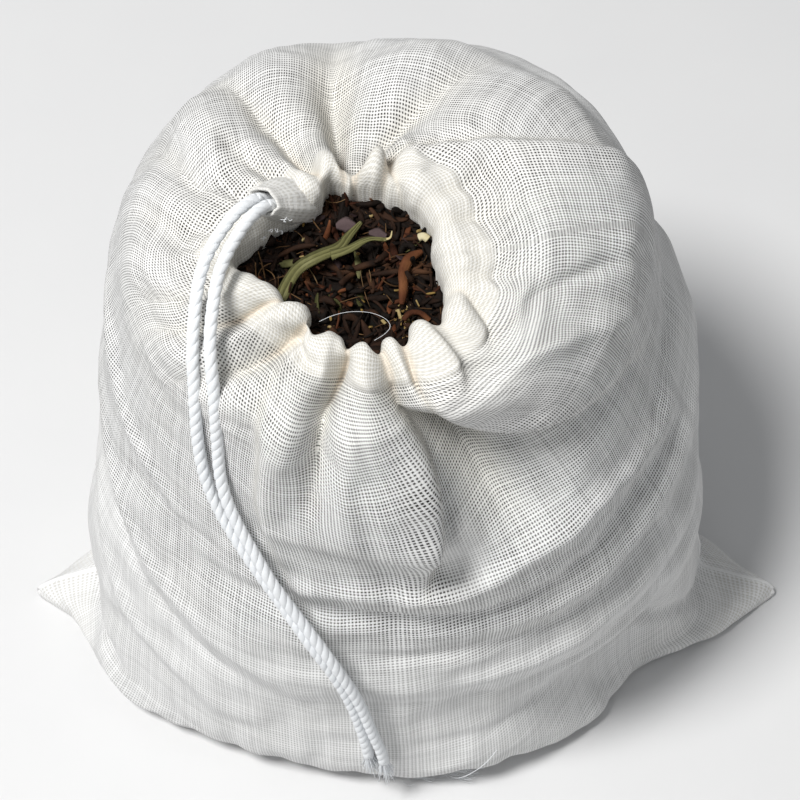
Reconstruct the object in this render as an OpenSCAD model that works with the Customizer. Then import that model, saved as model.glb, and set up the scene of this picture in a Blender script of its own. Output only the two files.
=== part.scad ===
// Drawstring muslin herb bag: a filled cotton sack with flat bottom corners,
// a gathered hem casing round its open mouth, and one twisted cord through the casing.
// Origin: middle of the resting base. +Z up, -Y front (the cord side), +X right.

/* [Bag] */
// Width of the filled bag
bag_w = 97; // [80:1:120]
// Depth of the filled bag
bag_d = 90; // [80:1:110]
// Height of the middle of the mouth above the table
mouth_h = 98; // [90:1:115]
// Distance between the tips of the two flat bottom corners
ear_span = 128; // [118:1:150]
// Thickness of the cloth wall, with its wrinkles
cloth = 1; // [0.8:0.1:1.5]

/* [Mouth] */
// Left-right place of the middle of the mouth
mouth_x = -9; // [-12:1:0]
// Front-back place of the middle of the mouth
mouth_y = -13; // [-15:1:0]
// Lean of the mouth towards the front
mouth_tilt = 12; // [0:1:18]
// Radius of the circle on which the cord runs inside the casing
ring_r = 17; // [15:0.5:20]
// Outer radius of the gathered casing
casing_r = 4; // [3:0.25:4.5]
// Number of gathers round the mouth
gathers = 9; // [9:1:9]
// Distance that each gather moves inwards as the cord is pulled
gather_travel = 5; // [2:0.5:5]
// Direction of the slot where the cord leaves the casing
slot_angle = 145; // [130:1:150]
// Angle of the casing that the slot takes up
slot_span = 28; // [24:1:34]

/* [Cord] */
// Diameter of the twisted cotton cord
cord_d = 1.9; // [1.6:0.1:2.0]
// Length of each frayed end
fray_len = 6; // [4:0.5:8]

/* [Hidden] */

$fn = 48;
half_w = bag_w / 2;
half_d = bag_d / 2;
ear_out = ear_span / 2 - 0.9 * half_w;
seam_gap = 0.6;
seam_half = seam_gap - 0.1;
play = 0.4;
squareness = 2.2;
neck_r = ring_r + casing_r + 3;
panel_steps = 32;
rise_steps = 18;

// Cross-sections of the sack from the table to the neck.
// Each is [middle x, middle y, height, half width, half depth, lean, ear share].
SECTIONS = [
  [ 0.0, -6.0, 0.00 * mouth_h, 0.90 * half_w, 0.72 * half_d,  0, 1.00],
  [ 0.0, -5.0, 0.03 * mouth_h, 0.97 * half_w, 0.83 * half_d,  0, 0.80],
  [ 0.0, -3.0, 0.08 * mouth_h, 1.00 * half_w, 0.93 * half_d,  0, 0.15],
  [-0.5, -0.5, 0.22 * mouth_h, 1.01 * half_w, 0.99 * half_d,  1, 0.00],
  [-1.0,  0.5, 0.42 * mouth_h, 1.00 * half_w, 0.98 * half_d,  5, 0.00],
  [-1.5,  1.5, 0.63 * mouth_h, 0.95 * half_w, 0.95 * half_d, 10, 0.00],
  [-4.0,  1.0, 0.82 * mouth_h, 0.84 * half_w, 0.90 * half_d, 15, 0.00],
  [-6.5, -4.5, 0.96 * mouth_h, 0.68 * half_w, 0.74 * half_d, 16, 0.00],
  [mouth_x, mouth_y + 1, mouth_h - 1.5, neck_r, neck_r, mouth_tilt, 0.00]
];
LAST = len(SECTIONS) - 1;

// Smooth curve through four values.
function smooth(p, q, r, s, t) =
  0.5 * (2 * q + (r - p) * t + (2 * p - 5 * q + 4 * r - s) * t * t
  + (3 * q - p - 3 * r + s) * t * t * t);

// The cross-section at v, where v runs from 0 at the table to LAST at the neck.
function section(v) =
  let (k = min(floor(v), LAST - 1), t = v - k)
  smooth(SECTIONS[max(k - 1, 0)], SECTIONS[k], SECTIONS[k + 1],
         SECTIONS[min(k + 2, LAST)], t);

function signed_power(x, e) = sign(x) * pow(abs(x), e);

// A point of the sack's wall: u is the direction round the bag, v the way up,
// inset the distance inside the outer face, ears 1 with the flat corners and 0 without.
function wall_point(u, v, inset, ears) =
  let (s = section(v),
       ear = ears * s[6] * pow(max(0, 1 - abs(sin(u)) / 0.45), 1.4),
       x = (s[3] - inset) * signed_power(cos(u), 2 / squareness) + ear * ear_out * sign(cos(u)),
       y = (s[4] - inset) * signed_power(sin(u), 2 / squareness),
       drop = inset * v / LAST)
  [s[0] + x,
   s[1] + y * cos(s[5]),
   max(inset, s[2] + y * sin(s[5]) - drop)];

// Half of the sack as one closed wall, from direction u0 through half a turn.
module half_wall(u0, shift) {
  nu = panel_steps;
  nv = rise_steps;
  row = nu + 1;
  grid = [for (face = [0, 1]) for (j = [0:nv]) for (i = [0:nu])
    wall_point(u0 + 180 * i / nu, LAST * j / nv, face * cloth, 1 - face) + [0, shift, 0]];
  inner = row * (nv + 1);
  function at(i, j) = j * row + i;
  sides = [for (j = [0:nv - 1]) for (i = [0:nu - 1]) each [
    [at(i, j), at(i + 1, j + 1), at(i + 1, j)],
    [at(i, j), at(i, j + 1), at(i + 1, j + 1)],
    [inner + at(i, j), inner + at(i + 1, j), inner + at(i + 1, j + 1)],
    [inner + at(i, j), inner + at(i + 1, j + 1), inner + at(i, j + 1)]]];
  top = [for (i = [0:nu - 1]) each [
    [at(i, nv), inner + at(i, nv), inner + at(i + 1, nv)],
    [at(i, nv), inner + at(i + 1, nv), at(i + 1, nv)]]];
  edges = [for (j = [0:nv - 1]) each [
    [at(0, j), inner + at(0, j), inner + at(0, j + 1)],
    [at(0, j), inner + at(0, j + 1), at(0, j + 1)],
    [at(nu, j), inner + at(nu, j + 1), inner + at(nu, j)],
    [at(nu, j), at(nu, j + 1), inner + at(nu, j + 1)]]];
  base = [
    [for (i = [0:nu]) at(i, 0)],
    [for (i = [nu:-1:0]) inner + at(i, 0)],
    [at(nu, 0), inner + at(nu, 0), inner + at(0, 0), at(0, 0)]];
  polyhedron(grid, concat(sides, top, edges, base), convexity = 6);
}

// A narrow strip up one side, in the gap between the two panels.
module side_strip(u) {
  points = [for (j = [1:rise_steps])
    let (v = LAST * j / rise_steps,
         outer = wall_point(u, v, 0, 0.9),
         inner = wall_point(u, v, cloth, 0))
    each [outer + [0, -seam_half, 0], outer + [0, seam_half, 0],
          inner + [0, seam_half, 0], inner + [0, -seam_half, 0]]];
  tube(points, 4, rise_steps, u > 90);
}

// Closed skin over rings of points, each ring having n points.
module tube(points, n, rings, flip = false) {
  skin = [for (j = [0:rings - 2]) for (i = [0:n - 1])
    let (a = j * n + i, b = j * n + (i + 1) % n)
    each [[a, b, b + n], [a, b + n, a + n]]];
  ends = [[for (i = [n - 1:-1:0]) i], [for (i = [0:n - 1]) (rings - 1) * n + i]];
  faces = concat(skin, ends);
  polyhedron(points, flip ? faces : [for (f = faces) [for (k = [len(f) - 1:-1:0]) f[k]]], convexity = 6);
}

// The packed herbs: they fill the sack and end in a shallow bowl under the mouth.
module herb_core() {
  inset = cloth + play;
  n = 40;
  rings = 14;
  top_v = LAST - 1.2;
  fill_r = ring_r + casing_r;
  points = concat(
    [for (j = [0:rings - 1]) for (i = [0:n - 1])
      wall_point(360 * i / n, top_v * j / (rings - 1), inset, 0)],
    [for (i = [0:n - 1]) let (u = 360 * i / n)
      mouth_point(fill_r * cos(u), fill_r * sin(u), herb_floor)]);
  color("saddlebrown") tube(points, n, rings + 1, true);
}

// Heights below the middle of the mouth, along its axis.
herb_floor = -casing_r - 2.6;
herb_bed = herb_floor + 0.1;

// A point given in the mouth's own directions.
function mouth_point(x, y, z) =
  [mouth_x + x,
   mouth_y + y * cos(mouth_tilt) - z * sin(mouth_tilt),
   mouth_h + y * sin(mouth_tilt) + z * cos(mouth_tilt)];

// Places its children in the mouth's own directions.
module at_mouth(height = 0) {
  translate([mouth_x, mouth_y, mouth_h]) rotate([mouth_tilt, 0, 0]) translate([0, 0, height])
    children();
}

// Places its children lying on the herb bed, at a distance and direction, turned by turn.
module on_bed(distance, direction, turn = 0) {
  at_mouth(herb_bed) rotate(direction) translate([distance, 0, 0]) rotate(turn) children();
}

module front_panel() {
  color("ivory") half_wall(180, -seam_gap);
}

module back_panel() {
  color("ivory") half_wall(0, seam_gap);
}

module left_side_seam() {
  color("antiquewhite") side_strip(180);
}

module right_side_seam() {
  color("antiquewhite") side_strip(0);
}

module bottom_seam() {
  color("antiquewhite") translate([-0.8 * half_w, SECTIONS[0][1] - seam_half, 0])
    cube([1.6 * half_w, 2 * seam_half, cloth]);
}

// A long flat leaf with one side branch.
module leaf_blade() {
  color("olivedrab") at_mouth(herb_bed) linear_extrude(0.6)
    polygon([[-6, -5.5], [-5, -6], [-1.5, 0.5], [5.5, 2.5], [0.5, 2.6], [2.2, 6.5], [-2.4, 2.6]]);
}

module bark_strips() {
  color("sienna") for (k = [0:2])
    on_bed(8.5, -75 + 32 * k) rotate(70 + 20 * k) linear_extrude(0.9)
      difference() {
        circle(2.4);
        circle(1.5);
        translate([-3, -5]) square([6, 5]);
      }
}

module root_shreds() {
  color("saddlebrown") for (k = [0:3])
    on_bed(4.2 + 0.3 * k, -105 + 35 * k, 90) translate([-2, 0, 0.5]) rotate([0, 90, 0])
      cylinder(h = 3 - 0.3 * k, r = 0.4);
}

module stem_pieces() {
  color("tan") for (k = [0:2])
    on_bed(10, 25 + 34 * k, 90) translate([-1.8, 0, 0.8]) rotate([0, 90, 0]) difference() {
      cylinder(h = 3.6, r = 0.7);
      translate([0, 0, -1]) cylinder(h = 6, r = 0.4);
    }
}

module peel_chips() {
  color("rosybrown") for (k = [0:2])
    on_bed(10.2, 145 + 32 * k, 15 * k) linear_extrude(0.5) square([2.2, 1.6], center = true);
}

module flower_bits() {
  color("khaki") for (k = [0:2])
    on_bed(6.5, 135 + 30 * k) translate([0, 0, 0.8]) sphere(0.7);
}

// One gather of the hem casing: a short hollow length of the tunnel that the cord runs in.
tunnel_r = cord_d / 2 + 0.9;
gather_pitch = (360 - slot_span) / gathers;
gather_gap = (2 * gather_travel * sin(gather_pitch / 2) + play) / (ring_r - casing_r) * 180 / PI;
module gather(k) {
  middle = slot_angle + slot_span / 2 + (k - 0.5) * gather_pitch;
  span = gather_pitch - gather_gap;
  color("cornsilk") at_mouth() rotate(middle - span / 2) rotate_extrude(angle = span)
    translate([ring_r, 0]) difference() {
      circle(casing_r);
      circle(tunnel_r);
    }
}

// The part of the cord inside the casing. It runs round the mouth from the slot,
// and a separate bend doubles back there, so that both tails leave the same way.
loop_start = 133;
loop_end = 161;
turn_in = 1;
turn_up = 2.6;
turn_r = norm([turn_in, turn_up]);
turn_joint = 2;
module cord_loop() {
  color("whitesmoke") at_mouth() {
    rotate(loop_end) rotate_extrude(angle = 360 - loop_end + loop_start)
      translate([ring_r, 0]) circle(cord_d / 2);
    rotate(loop_end) translate([ring_r - turn_in, 0, turn_up])
      rotate([0, atan2(turn_up, turn_in), 0]) rotate([180, 0, -turn_joint])
        rotate_extrude(angle = 180 - 2 * turn_joint)
          translate([turn_r, 0]) circle(cord_d / 2);
  }
}

// Routes of the two loose tails, from the slot down over the front to the belly.
LEFT_ROUTE = [
  [-20.5, -0.5, 100.5], [-22.5, -3.5, 102.5], [-24.5, -6.5, 104.5], [-26, -9.5, 104.5],
  [-27.5, -13, 104], [-29, -17.5, 103], [-29.5, -22.5, 101], [-30, -27, 97],
  [-30, -29.5, 92], [-30, -31, 87], [-30, -32, 82], [-29.5, -33.5, 76],
  [-28, -35, 70], [-25, -37.5, 64], [-21.5, -40, 58], [-18, -42, 52],
  [-14.5, -44, 46], [-11.5, -45.5, 40], [-9, -46.5, 33], [-7.5, -47, 26],
  [-6.5, -47.5, 20], [-6, -47.5, 15.5]
];
RIGHT_ROUTE = [
  [-23, -9.5, 104], [-24, -12.5, 104], [-25.5, -15.5, 104], [-26.5, -19.5, 103],
  [-27, -24, 102], [-27.5, -28.5, 99], [-27, -31.5, 94], [-27, -33, 88],
  [-27, -33.5, 82], [-27, -35, 76], [-25.5, -37, 70], [-22.5, -39.5, 64],
  [-19.5, -42, 58], [-16, -43.5, 52], [-12.5, -45.5, 46], [-9.5, -47, 40],
  [-7, -48, 33], [-5.5, -49, 26], [-4, -49, 20], [-3.5, -49, 16]
];

function unit(v) = v / norm(v);

// The rings of a plain round tube along a route.
function ring_points(route, r, sides) = [for (k = [0:len(route) - 1])
  let (along = unit(route[min(k + 1, len(route) - 1)] - route[max(k - 1, 0)]),
       side = unit(cross(along, [1, 0.3, 0])),
       other = cross(along, side))
  for (i = [0:sides - 1])
    route[k] + r * (cos(360 * i / sides) * side + sin(360 * i / sides) * other)];

module tail(route) {
  color("whitesmoke") tube(ring_points(route, cord_d / 2, 8), 8, len(route), true);
}

module fray(route) {
  last = route[len(route) - 1];
  along = unit(last - route[len(route) - 2]);
  color("white") translate(last) rotate([0, acos(along.z), atan2(along.y, along.x)])
    cylinder(h = fray_len, r1 = 0.45 * cord_d, r2 = 0.8 * cord_d);
}

module cord_tail_left() {
  tail(LEFT_ROUTE);
}

module cord_tail_right() {
  tail(RIGHT_ROUTE);
}

module cord_end_left() {
  fray(LEFT_ROUTE);
}

module cord_end_right() {
  fray(RIGHT_ROUTE);
}

front_panel();
back_panel();
left_side_seam();
right_side_seam();
bottom_seam();
herb_core();
leaf_blade();
bark_strips();
root_shreds();
stem_pieces();
peel_chips();
flower_bits();
gather(1);  // gather_1
gather(2);  // gather_2
gather(3);  // gather_3
gather(4);  // gather_4
gather(5);  // gather_5
gather(6);  // gather_6
gather(7);  // gather_7
gather(8);  // gather_8
gather(9);  // gather_9
cord_loop();
cord_tail_left();
cord_tail_right();
cord_end_left();
cord_end_right();
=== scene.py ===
"""Drawstring muslin herb bag: gathered cotton sack, dark herbs in its open mouth, one twisted cord.

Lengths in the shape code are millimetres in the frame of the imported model, scaled by MM at the end.
"""

import math

import bpy
import numpy as np
from mathutils import Matrix, Vector


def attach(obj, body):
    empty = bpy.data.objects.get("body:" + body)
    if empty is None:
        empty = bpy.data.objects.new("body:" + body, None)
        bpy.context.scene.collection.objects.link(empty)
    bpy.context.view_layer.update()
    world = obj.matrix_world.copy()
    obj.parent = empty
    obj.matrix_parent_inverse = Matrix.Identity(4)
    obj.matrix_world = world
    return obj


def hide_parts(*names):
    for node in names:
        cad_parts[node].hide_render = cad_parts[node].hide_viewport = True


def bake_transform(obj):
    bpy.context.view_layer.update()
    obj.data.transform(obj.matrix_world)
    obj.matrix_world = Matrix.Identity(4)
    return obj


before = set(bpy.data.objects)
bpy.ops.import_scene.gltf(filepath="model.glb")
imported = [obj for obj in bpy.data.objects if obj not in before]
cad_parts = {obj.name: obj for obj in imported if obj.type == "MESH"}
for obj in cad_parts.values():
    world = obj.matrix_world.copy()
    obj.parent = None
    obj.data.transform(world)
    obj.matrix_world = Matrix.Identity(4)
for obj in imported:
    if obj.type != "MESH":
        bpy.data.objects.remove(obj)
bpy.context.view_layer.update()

MM = 0.001
DEG = math.pi / 180

# ---------------------------------------------------------------- the sack's plain shape

# The filled body, the height of the mouth, and the width across the two flat corners.
BAG_W, BAG_D, MOUTH_H, EAR_SPAN = 97.0, 90.0, 98.0, 128.0
# The mouth's middle and its tilt to the front in degrees.
MOUTH_X, MOUTH_Y, MOUTH_TILT = -9.0, -13.0, 12.0
# The ring of the hem and the tunnel in it, and the cord in the tunnel.
RING_R, CASING_R = 17.0, 4.0
CORD_D = 1.9
# Pitches of the threads that run up and round, and the flat bag's length all round.
THREAD_PITCH, WEFT_PITCH = 0.49, 0.54
CLOTH_ROUND = 300.0

# The gap in the hem where the cord comes out, and the gathers of the rest, in degrees.
SLOT_ANGLE, SLOT_SPAN, GATHERS = 145.0, 28.0, 9
GATHER_PITCH = (360 - SLOT_SPAN) / GATHERS
NECK_R = RING_R + CASING_R + 3
HALF_W, HALF_D = BAG_W / 2, BAG_D / 2
EAR_OUT = EAR_SPAN / 2 - 0.9 * HALF_W
SQUARENESS = 2.2

# Middle x, middle y, height, half width, half depth, lean and ear share, from the table to the neck.
SECTIONS = np.array([
    [0.0, -6.0, 0.00 * MOUTH_H, 0.90 * HALF_W, 0.72 * HALF_D, 0, 1.00],
    [0.0, -5.0, 0.03 * MOUTH_H, 0.97 * HALF_W, 0.83 * HALF_D, 0, 0.80],
    [0.0, -3.0, 0.08 * MOUTH_H, 1.00 * HALF_W, 0.93 * HALF_D, 0, 0.15],
    [-0.5, -0.5, 0.22 * MOUTH_H, 1.01 * HALF_W, 0.99 * HALF_D, 1, 0.00],
    [-1.0, 0.5, 0.42 * MOUTH_H, 1.00 * HALF_W, 0.98 * HALF_D, 5, 0.00],
    [-1.5, 1.5, 0.63 * MOUTH_H, 0.95 * HALF_W, 0.95 * HALF_D, 10, 0.00],
    [-4.0, 1.0, 0.82 * MOUTH_H, 0.84 * HALF_W, 0.90 * HALF_D, 15, 0.00],
    [-6.5, -4.5, 0.96 * MOUTH_H, 0.68 * HALF_W, 0.74 * HALF_D, 16, 0.00],
    [MOUTH_X, MOUTH_Y + 1, MOUTH_H - 1.5, NECK_R, NECK_R, MOUTH_TILT, 0.00],
])
# Rows of the cloth: -1 to 0 under the sack, 0 to the neck up the wall, then over the hem and into the mouth.
NECK_V = len(SECTIONS) - 1
STITCH_V, INSIDE_V = NECK_V + 1, NECK_V + 4


def rising(x, start, run):
    """From 0 at start to 1 at start + run."""
    return np.clip((x - start) / run, 0, 1)


def falling(x, end, run):
    """From 1 at end - run to 0 at end."""
    return np.clip((end - x) / run, 0, 1)


def bell(distance, width):
    return np.exp(-((distance / width) ** 2))


def section(v):
    """The cross-section at v, by smooth curves through the rows of SECTIONS."""
    v = np.clip(v, 0, NECK_V)
    k = np.minimum(v.astype(int), NECK_V - 1)
    t = (v - k)[:, None]
    p, q = SECTIONS[np.maximum(k - 1, 0)], SECTIONS[k]
    r, s = SECTIONS[k + 1], SECTIONS[np.minimum(k + 2, NECK_V)]
    return 0.5 * (2 * q + (r - p) * t + (2 * p - 5 * q + 4 * r - s) * t**2
                  + (3 * q - p - 3 * r + s) * t**3)


def signed_power(x, e):
    return np.sign(x) * np.abs(x) ** e


def wall(u, v, ears=1.0):
    """Points of the sack's wall on the grid of directions u (degrees) and rows v."""
    s = section(v)[:, None, :]
    c, n = np.cos(u * DEG)[None, :], np.sin(u * DEG)[None, :]
    ear = ears * s[..., 6] * np.maximum(0, 1 - np.abs(n) / 0.45) ** 1.4
    x = s[..., 3] * signed_power(c, 2 / SQUARENESS) + ear * EAR_OUT * np.sign(c)
    y = s[..., 4] * signed_power(n, 2 / SQUARENESS)
    lean = s[..., 5] * DEG
    z = np.maximum(0.0, s[..., 2] + y * np.sin(lean))
    return np.stack([s[..., 0] + x, s[..., 1] + y * np.cos(lean), z], -1)


def mouth_to_frame(p):
    """From the mouth's own directions to the frame."""
    c, n = math.cos(MOUTH_TILT * DEG), math.sin(MOUTH_TILT * DEG)
    x, y, z = p[..., 0], p[..., 1], p[..., 2]
    return np.stack([MOUTH_X + x, MOUTH_Y + y * c - z * n, MOUTH_H + y * n + z * c], -1)


def frame_to_mouth(p):
    c, n = math.cos(MOUTH_TILT * DEG), math.sin(MOUTH_TILT * DEG)
    x, y, z = p[..., 0] - MOUTH_X, p[..., 1] - MOUTH_Y, p[..., 2] - MOUTH_H
    return np.stack([x, y * c + z * n, -y * n + z * c], -1)


# Distance from the middle of the mouth to the edge of its opening, by direction.
OPENING = [
    (10, 12.4), (31, 13.2), (41, 13.4), (60, 12.4), (74, 12.6), (86, 11.2), (98, 12.6), (108, 10.6),
    (118, 10.2), (135, 10.4), (158, 12.0), (175, 14.6), (186, 13.0), (200, 10.4), (219, 8.6), (243, 8.2),
    (250, 10.6), (258, 11.0), (266, 10.8), (277, 12.4), (286, 14.0), (296, 13.4), (304, 14.6),
    (316, 14.2), (325, 16.0), (333, 15.4), (351, 13.6),
]


def round_curve(pairs, a, spread=1.5):
    """A closed curve through (direction, value) pairs, slightly rounded at the pairs."""
    x = np.array([p[0] for p in pairs], float)
    y = np.array([p[1] for p in pairs], float)
    x = np.concatenate([x - 360, x, x + 360])
    y = np.tile(y, 3)
    return np.mean([np.interp(a % 360 + d * spread, x, y) for d in (-1, -0.5, 0, 0.5, 1)], 0)


def open_curve(xs, ys, x, spread):
    """A curve through points with rising xs, rounded over a window of half width spread."""
    return np.mean([np.interp(x + d * spread, xs, ys) for d in (-1, -0.5, 0, 0.5, 1)], 0)


def base_surface(u, v, ears=1.0):
    """The sack without folds: flat base, wall, shoulder and the rolled hem at the mouth."""
    grid = wall(u, v, ears)
    under = v < 0
    flat = wall(u, np.zeros(1))[0]
    share = (v[under] + 1)[:, None]
    grid[under, :, 0] = flat[None, :, 0]
    grid[under, :, 1] = SECTIONS[0][1] + (flat[None, :, 1] - SECTIONS[0][1]) * share
    grid[under, :, 2] = 0
    ring = frame_to_mouth(wall(u, np.array([float(NECK_V)]))[0])
    a = np.arctan2(ring[:, 1], ring[:, 0])
    r0, z0 = np.hypot(ring[:, 0], ring[:, 1]), ring[:, 2]
    r_in = round_curve(OPENING, a / DEG)
    lip = np.where(v > NECK_V)[0]
    # The hem's section, as distance from the mouth's middle and height at each half row above the neck.
    steps = np.array([0, 0.5, 1, 1.5, 2, 2.5, 3, 3.5, 4])
    radii = [r0, 0.5 * (r0 + r_in + 7.2), r_in + 7.2, r_in + 5.2, r_in + 2.8, r_in + 0.9,
             r_in, r_in + 0.6, r_in + 2.0]
    rises = [z0, z0 + 0.7, z0 + 1.5, z0 + 3.6, z0 + 4.6, z0 + 3.6, z0 + 1.0, z0 - 3.5, z0 - 9.0]
    for j in lip:
        t = v[j] - NECK_V
        near = np.abs(steps[:, None] - (t + np.array([-0.25, 0, 0.25])))
        weights = np.maximum(0, 1 - near / 0.5).mean(1)
        weights /= weights.sum()
        r = sum(w * q for w, q in zip(weights, radii))
        z = sum(w * q for w, q in zip(weights, rises))
        grid[j] = mouth_to_frame(np.stack([r * np.cos(a), r * np.sin(a), z], -1))
    return grid


# ---------------------------------------------------------------- folds

# Creases that run down from the mouth: (row, direction, depth, half width) at each point.
CREASES = [
    [(11, 92, 1.5, 1.2), (10, 92, 3.5, 1.6), (9, 93, 5.5, 2.4), (8, 94, 7.5, 4.0), (7.5, 96, 7.5, 5.5),
     (7, 98, 4.6, 7.0), (6, 99, 1.2, 8.0), (5.4, 100, 0, 8.0)],
    [(11, 99, 1.2, 1.0), (10, 104, 2.4, 1.2), (9, 109, 3.6, 1.8), (8, 113, 4.6, 2.4),
     (7.6, 120, 3.6, 3.0), (7, 128, 1.6, 4.0), (6.2, 136, 0.5, 6.0), (5.6, 140, 0, 6.0)],
    [(11, 82, 1.8, 1.0), (10, 84, 3.0, 1.2), (9, 83, 3.6, 1.6), (8, 76, 4.0, 2.6), (7.6, 70, 3.2, 3.6),
     (7, 62, 1.6, 4.5), (6.2, 55, 0, 5.0)],
    [(11, 52, 1.6, 1.0), (10, 62, 2.4, 1.2), (9, 72, 2.2, 1.4), (8.4, 77, 0, 1.4)],
    [(10.8, 338, 1.0, 1.2), (10, 344, 1.7, 1.4), (9.2, 335, 1.8, 1.6), (8.6, 328, 1.2, 1.8),
     (8, 322, 0, 2)],
    [(10.6, 348, 0.6, 1.0), (9.5, 351, 1.0, 1.2), (8.5, 353, 0.9, 1.6), (7.6, 355, 0, 2.0)],
    [(11, 286, 2.2, 1.0), (10, 287, 3.4, 1.2), (9, 287, 3.8, 1.4), (8, 285, 3.6, 1.6),
     (7.3, 283, 1.0, 2.0), (7, 282, 0, 2.0)],
    [(11, 275, 1.6, 1.0), (10, 273, 3.0, 1.0), (9, 269, 4.0, 1.1), (8, 265, 3.8, 1.4),
     (7.3, 262, 3.2, 1.6), (6.6, 260, 1.8, 2.2), (6, 259, 0, 3.0)],
    [(11, 250, 2.0, 1.0), (10, 244, 2.6, 1.3), (9, 234, 2.8, 1.6), (8, 226, 2.6, 2.4),
     (7.4, 221, 1.2, 3.0), (6.8, 218, 0, 3.5)],
    [(11, 178, 1.0, 1.0), (10, 184, 2.0, 1.4), (9, 190, 2.4, 1.8), (8, 193, 2.2, 2.6),
     (7.2, 195, 1.4, 3.6), (6.4, 196, 0, 4.0)],
    [(11, 217, 1.4, 1.0), (10, 214, 2.0, 1.3), (9, 210, 2.4, 1.8), (8, 206, 2.2, 2.6),
     (7.2, 203, 1.4, 3.4), (6.4, 201, 0, 4.0)],
    [(11, 119, 1.2, 1.0), (10, 121, 2.0, 1.2), (9, 125, 2.0, 1.6), (8, 131, 1.6, 2.4), (7.2, 140, 0, 3.0)],
    [(11, 66, 1.4, 1.0), (10, 69, 1.8, 1.0), (9, 72, 1.4, 1.2), (8.5, 74, 0, 1.4)],
    [(11, 325, 1.0, 1.2), (10, 321, 1.4, 1.4), (9, 318, 1.2, 2.0), (8, 316, 0.6, 3.0), (7.4, 315, 0, 3.0)],
    [(11, 303, 2.6, 1.0), (10, 300, 3.0, 1.2), (9, 298, 2.6, 1.3), (8.2, 298, 0, 1.4)],
    [(11, 22, 1.0, 1.4), (10, 20, 1.4, 1.8), (9, 17, 1.6, 2.4), (8, 14, 1.2, 3.2), (7, 10, 0, 4.0)],
    [(11, 38, 0.8, 1.2), (10, 36, 1.2, 1.6), (9, 33, 1.2, 2.2), (8, 30, 0.8, 3.0), (7.4, 28, 0, 3.4)],
    [(8.4, 150, 0, 2.0), (8, 152, 1.4, 2.6), (7.2, 155, 1.6, 3.6), (6.4, 158, 0.8, 4.6), (5.6, 160, 0, 5)],
    [(8.8, 169, 0, 1.8), (8, 171, 1.2, 2.4), (7.2, 173, 1.4, 3.4), (6.4, 174, 0, 4.4)],
    [(8.1, 289, 0, 3.4), (7.6, 290, 5.4, 4.2), (7.2, 291, 8.8, 5.2), (6.8, 292, 8.2, 6.4),
     (6.3, 293, 4.2, 7.4), (5.7, 294, 0, 8.0)],
]

# Folds with one raised side: (row, direction, height, run of the raised side); side +1 is the
# side of larger directions. Overhang is how far the raised edge is pushed over the lower side.
PLEATS = [
    (-1, 0.9, [(11, 84, 0.6, 6), (10, 81, 1.2, 8), (9, 66, 2.2, 12), (8.4, 54, 2.8, 18),
               (7.9, 42, 3.2, 24), (7.5, 28, 3.2, 26), (7.0, 19, 2.8, 26), (6.3, 15, 1.6, 26),
               (5.7, 15, 0, 24)]),
    (1, 1.6, [(11, 303, 0.4, 6), (10, 300, 1.0, 8), (9, 298, 2.2, 10), (8, 298, 3.8, 15),
              (7.4, 299, 4.4, 18), (7.0, 303, 4.2, 18), (6.8, 311, 3.4, 16), (6.6, 322, 2.4, 15),
              (6.3, 337, 1.0, 12), (6, 348, 0, 12)]),
    (-1, 2.0, [(9, 287, 0.6, 8), (8, 284.5, 2.6, 12), (7.3, 282, 4.2, 16), (6.75, 281, 4.8, 18),
               (6.4, 280, 4.6, 18), (6.0, 278, 3.8, 18), (5.6, 276, 2.4, 18), (5.1, 273, 0, 16)]),
    (1, 0.6, [(9.4, 243, 0, 6), (8.6, 246, 1.4, 7), (7.8, 248, 2.4, 8), (7, 249.5, 2.8, 9),
              (6.3, 249, 2.6, 10), (5.7, 250, 2.0, 11), (5.1, 253, 1.2, 12), (4.4, 258, 0, 12)]),
    (1, 1.4, [(11, 276, 0, 5), (10.4, 275, 1.2, 5), (9, 270.5, 1.8, 6), (8, 266.5, 1.6, 7),
              (7.2, 263, 0, 8)]),
    (-1, 1.4, [(11, 248, 0, 5), (10.4, 247, 1.2, 5), (9, 236, 1.6, 7), (8, 228, 1.2, 7), (7.2, 222, 0, 8)]),
    (1, 1.6, [(11, 93, 0, 5), (10.3, 93.5, 1.4, 5), (9, 95, 2.2, 7), (8, 97, 1.6, 8), (7.2, 100, 0, 8)]),
    (-1, 1.6, [(11, 316, 0, 5), (10.3, 315, 1.4, 6), (9.2, 311, 2.0, 7), (8.2, 306, 0.6, 8),
               (7.8, 305, 0, 8)]),
    (-1, 1.2, [(11, 214, 0, 5), (10.3, 213, 1.2, 5), (9, 209, 1.6, 7), (8, 205, 1.0, 8), (7.2, 202, 0, 8)]),
    (1, 1.2, [(11, 68, 0, 4), (10.3, 70, 1.2, 5), (9, 74, 1.4, 6), (8.2, 78, 0, 8)]),
    (1, 0.5, [(8.6, 112, 0, 8), (8, 114, 1.0, 10), (7.6, 120, 1.2, 12), (7, 128, 0.6, 12),
              (6.2, 136, 0, 12)]),
]

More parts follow.
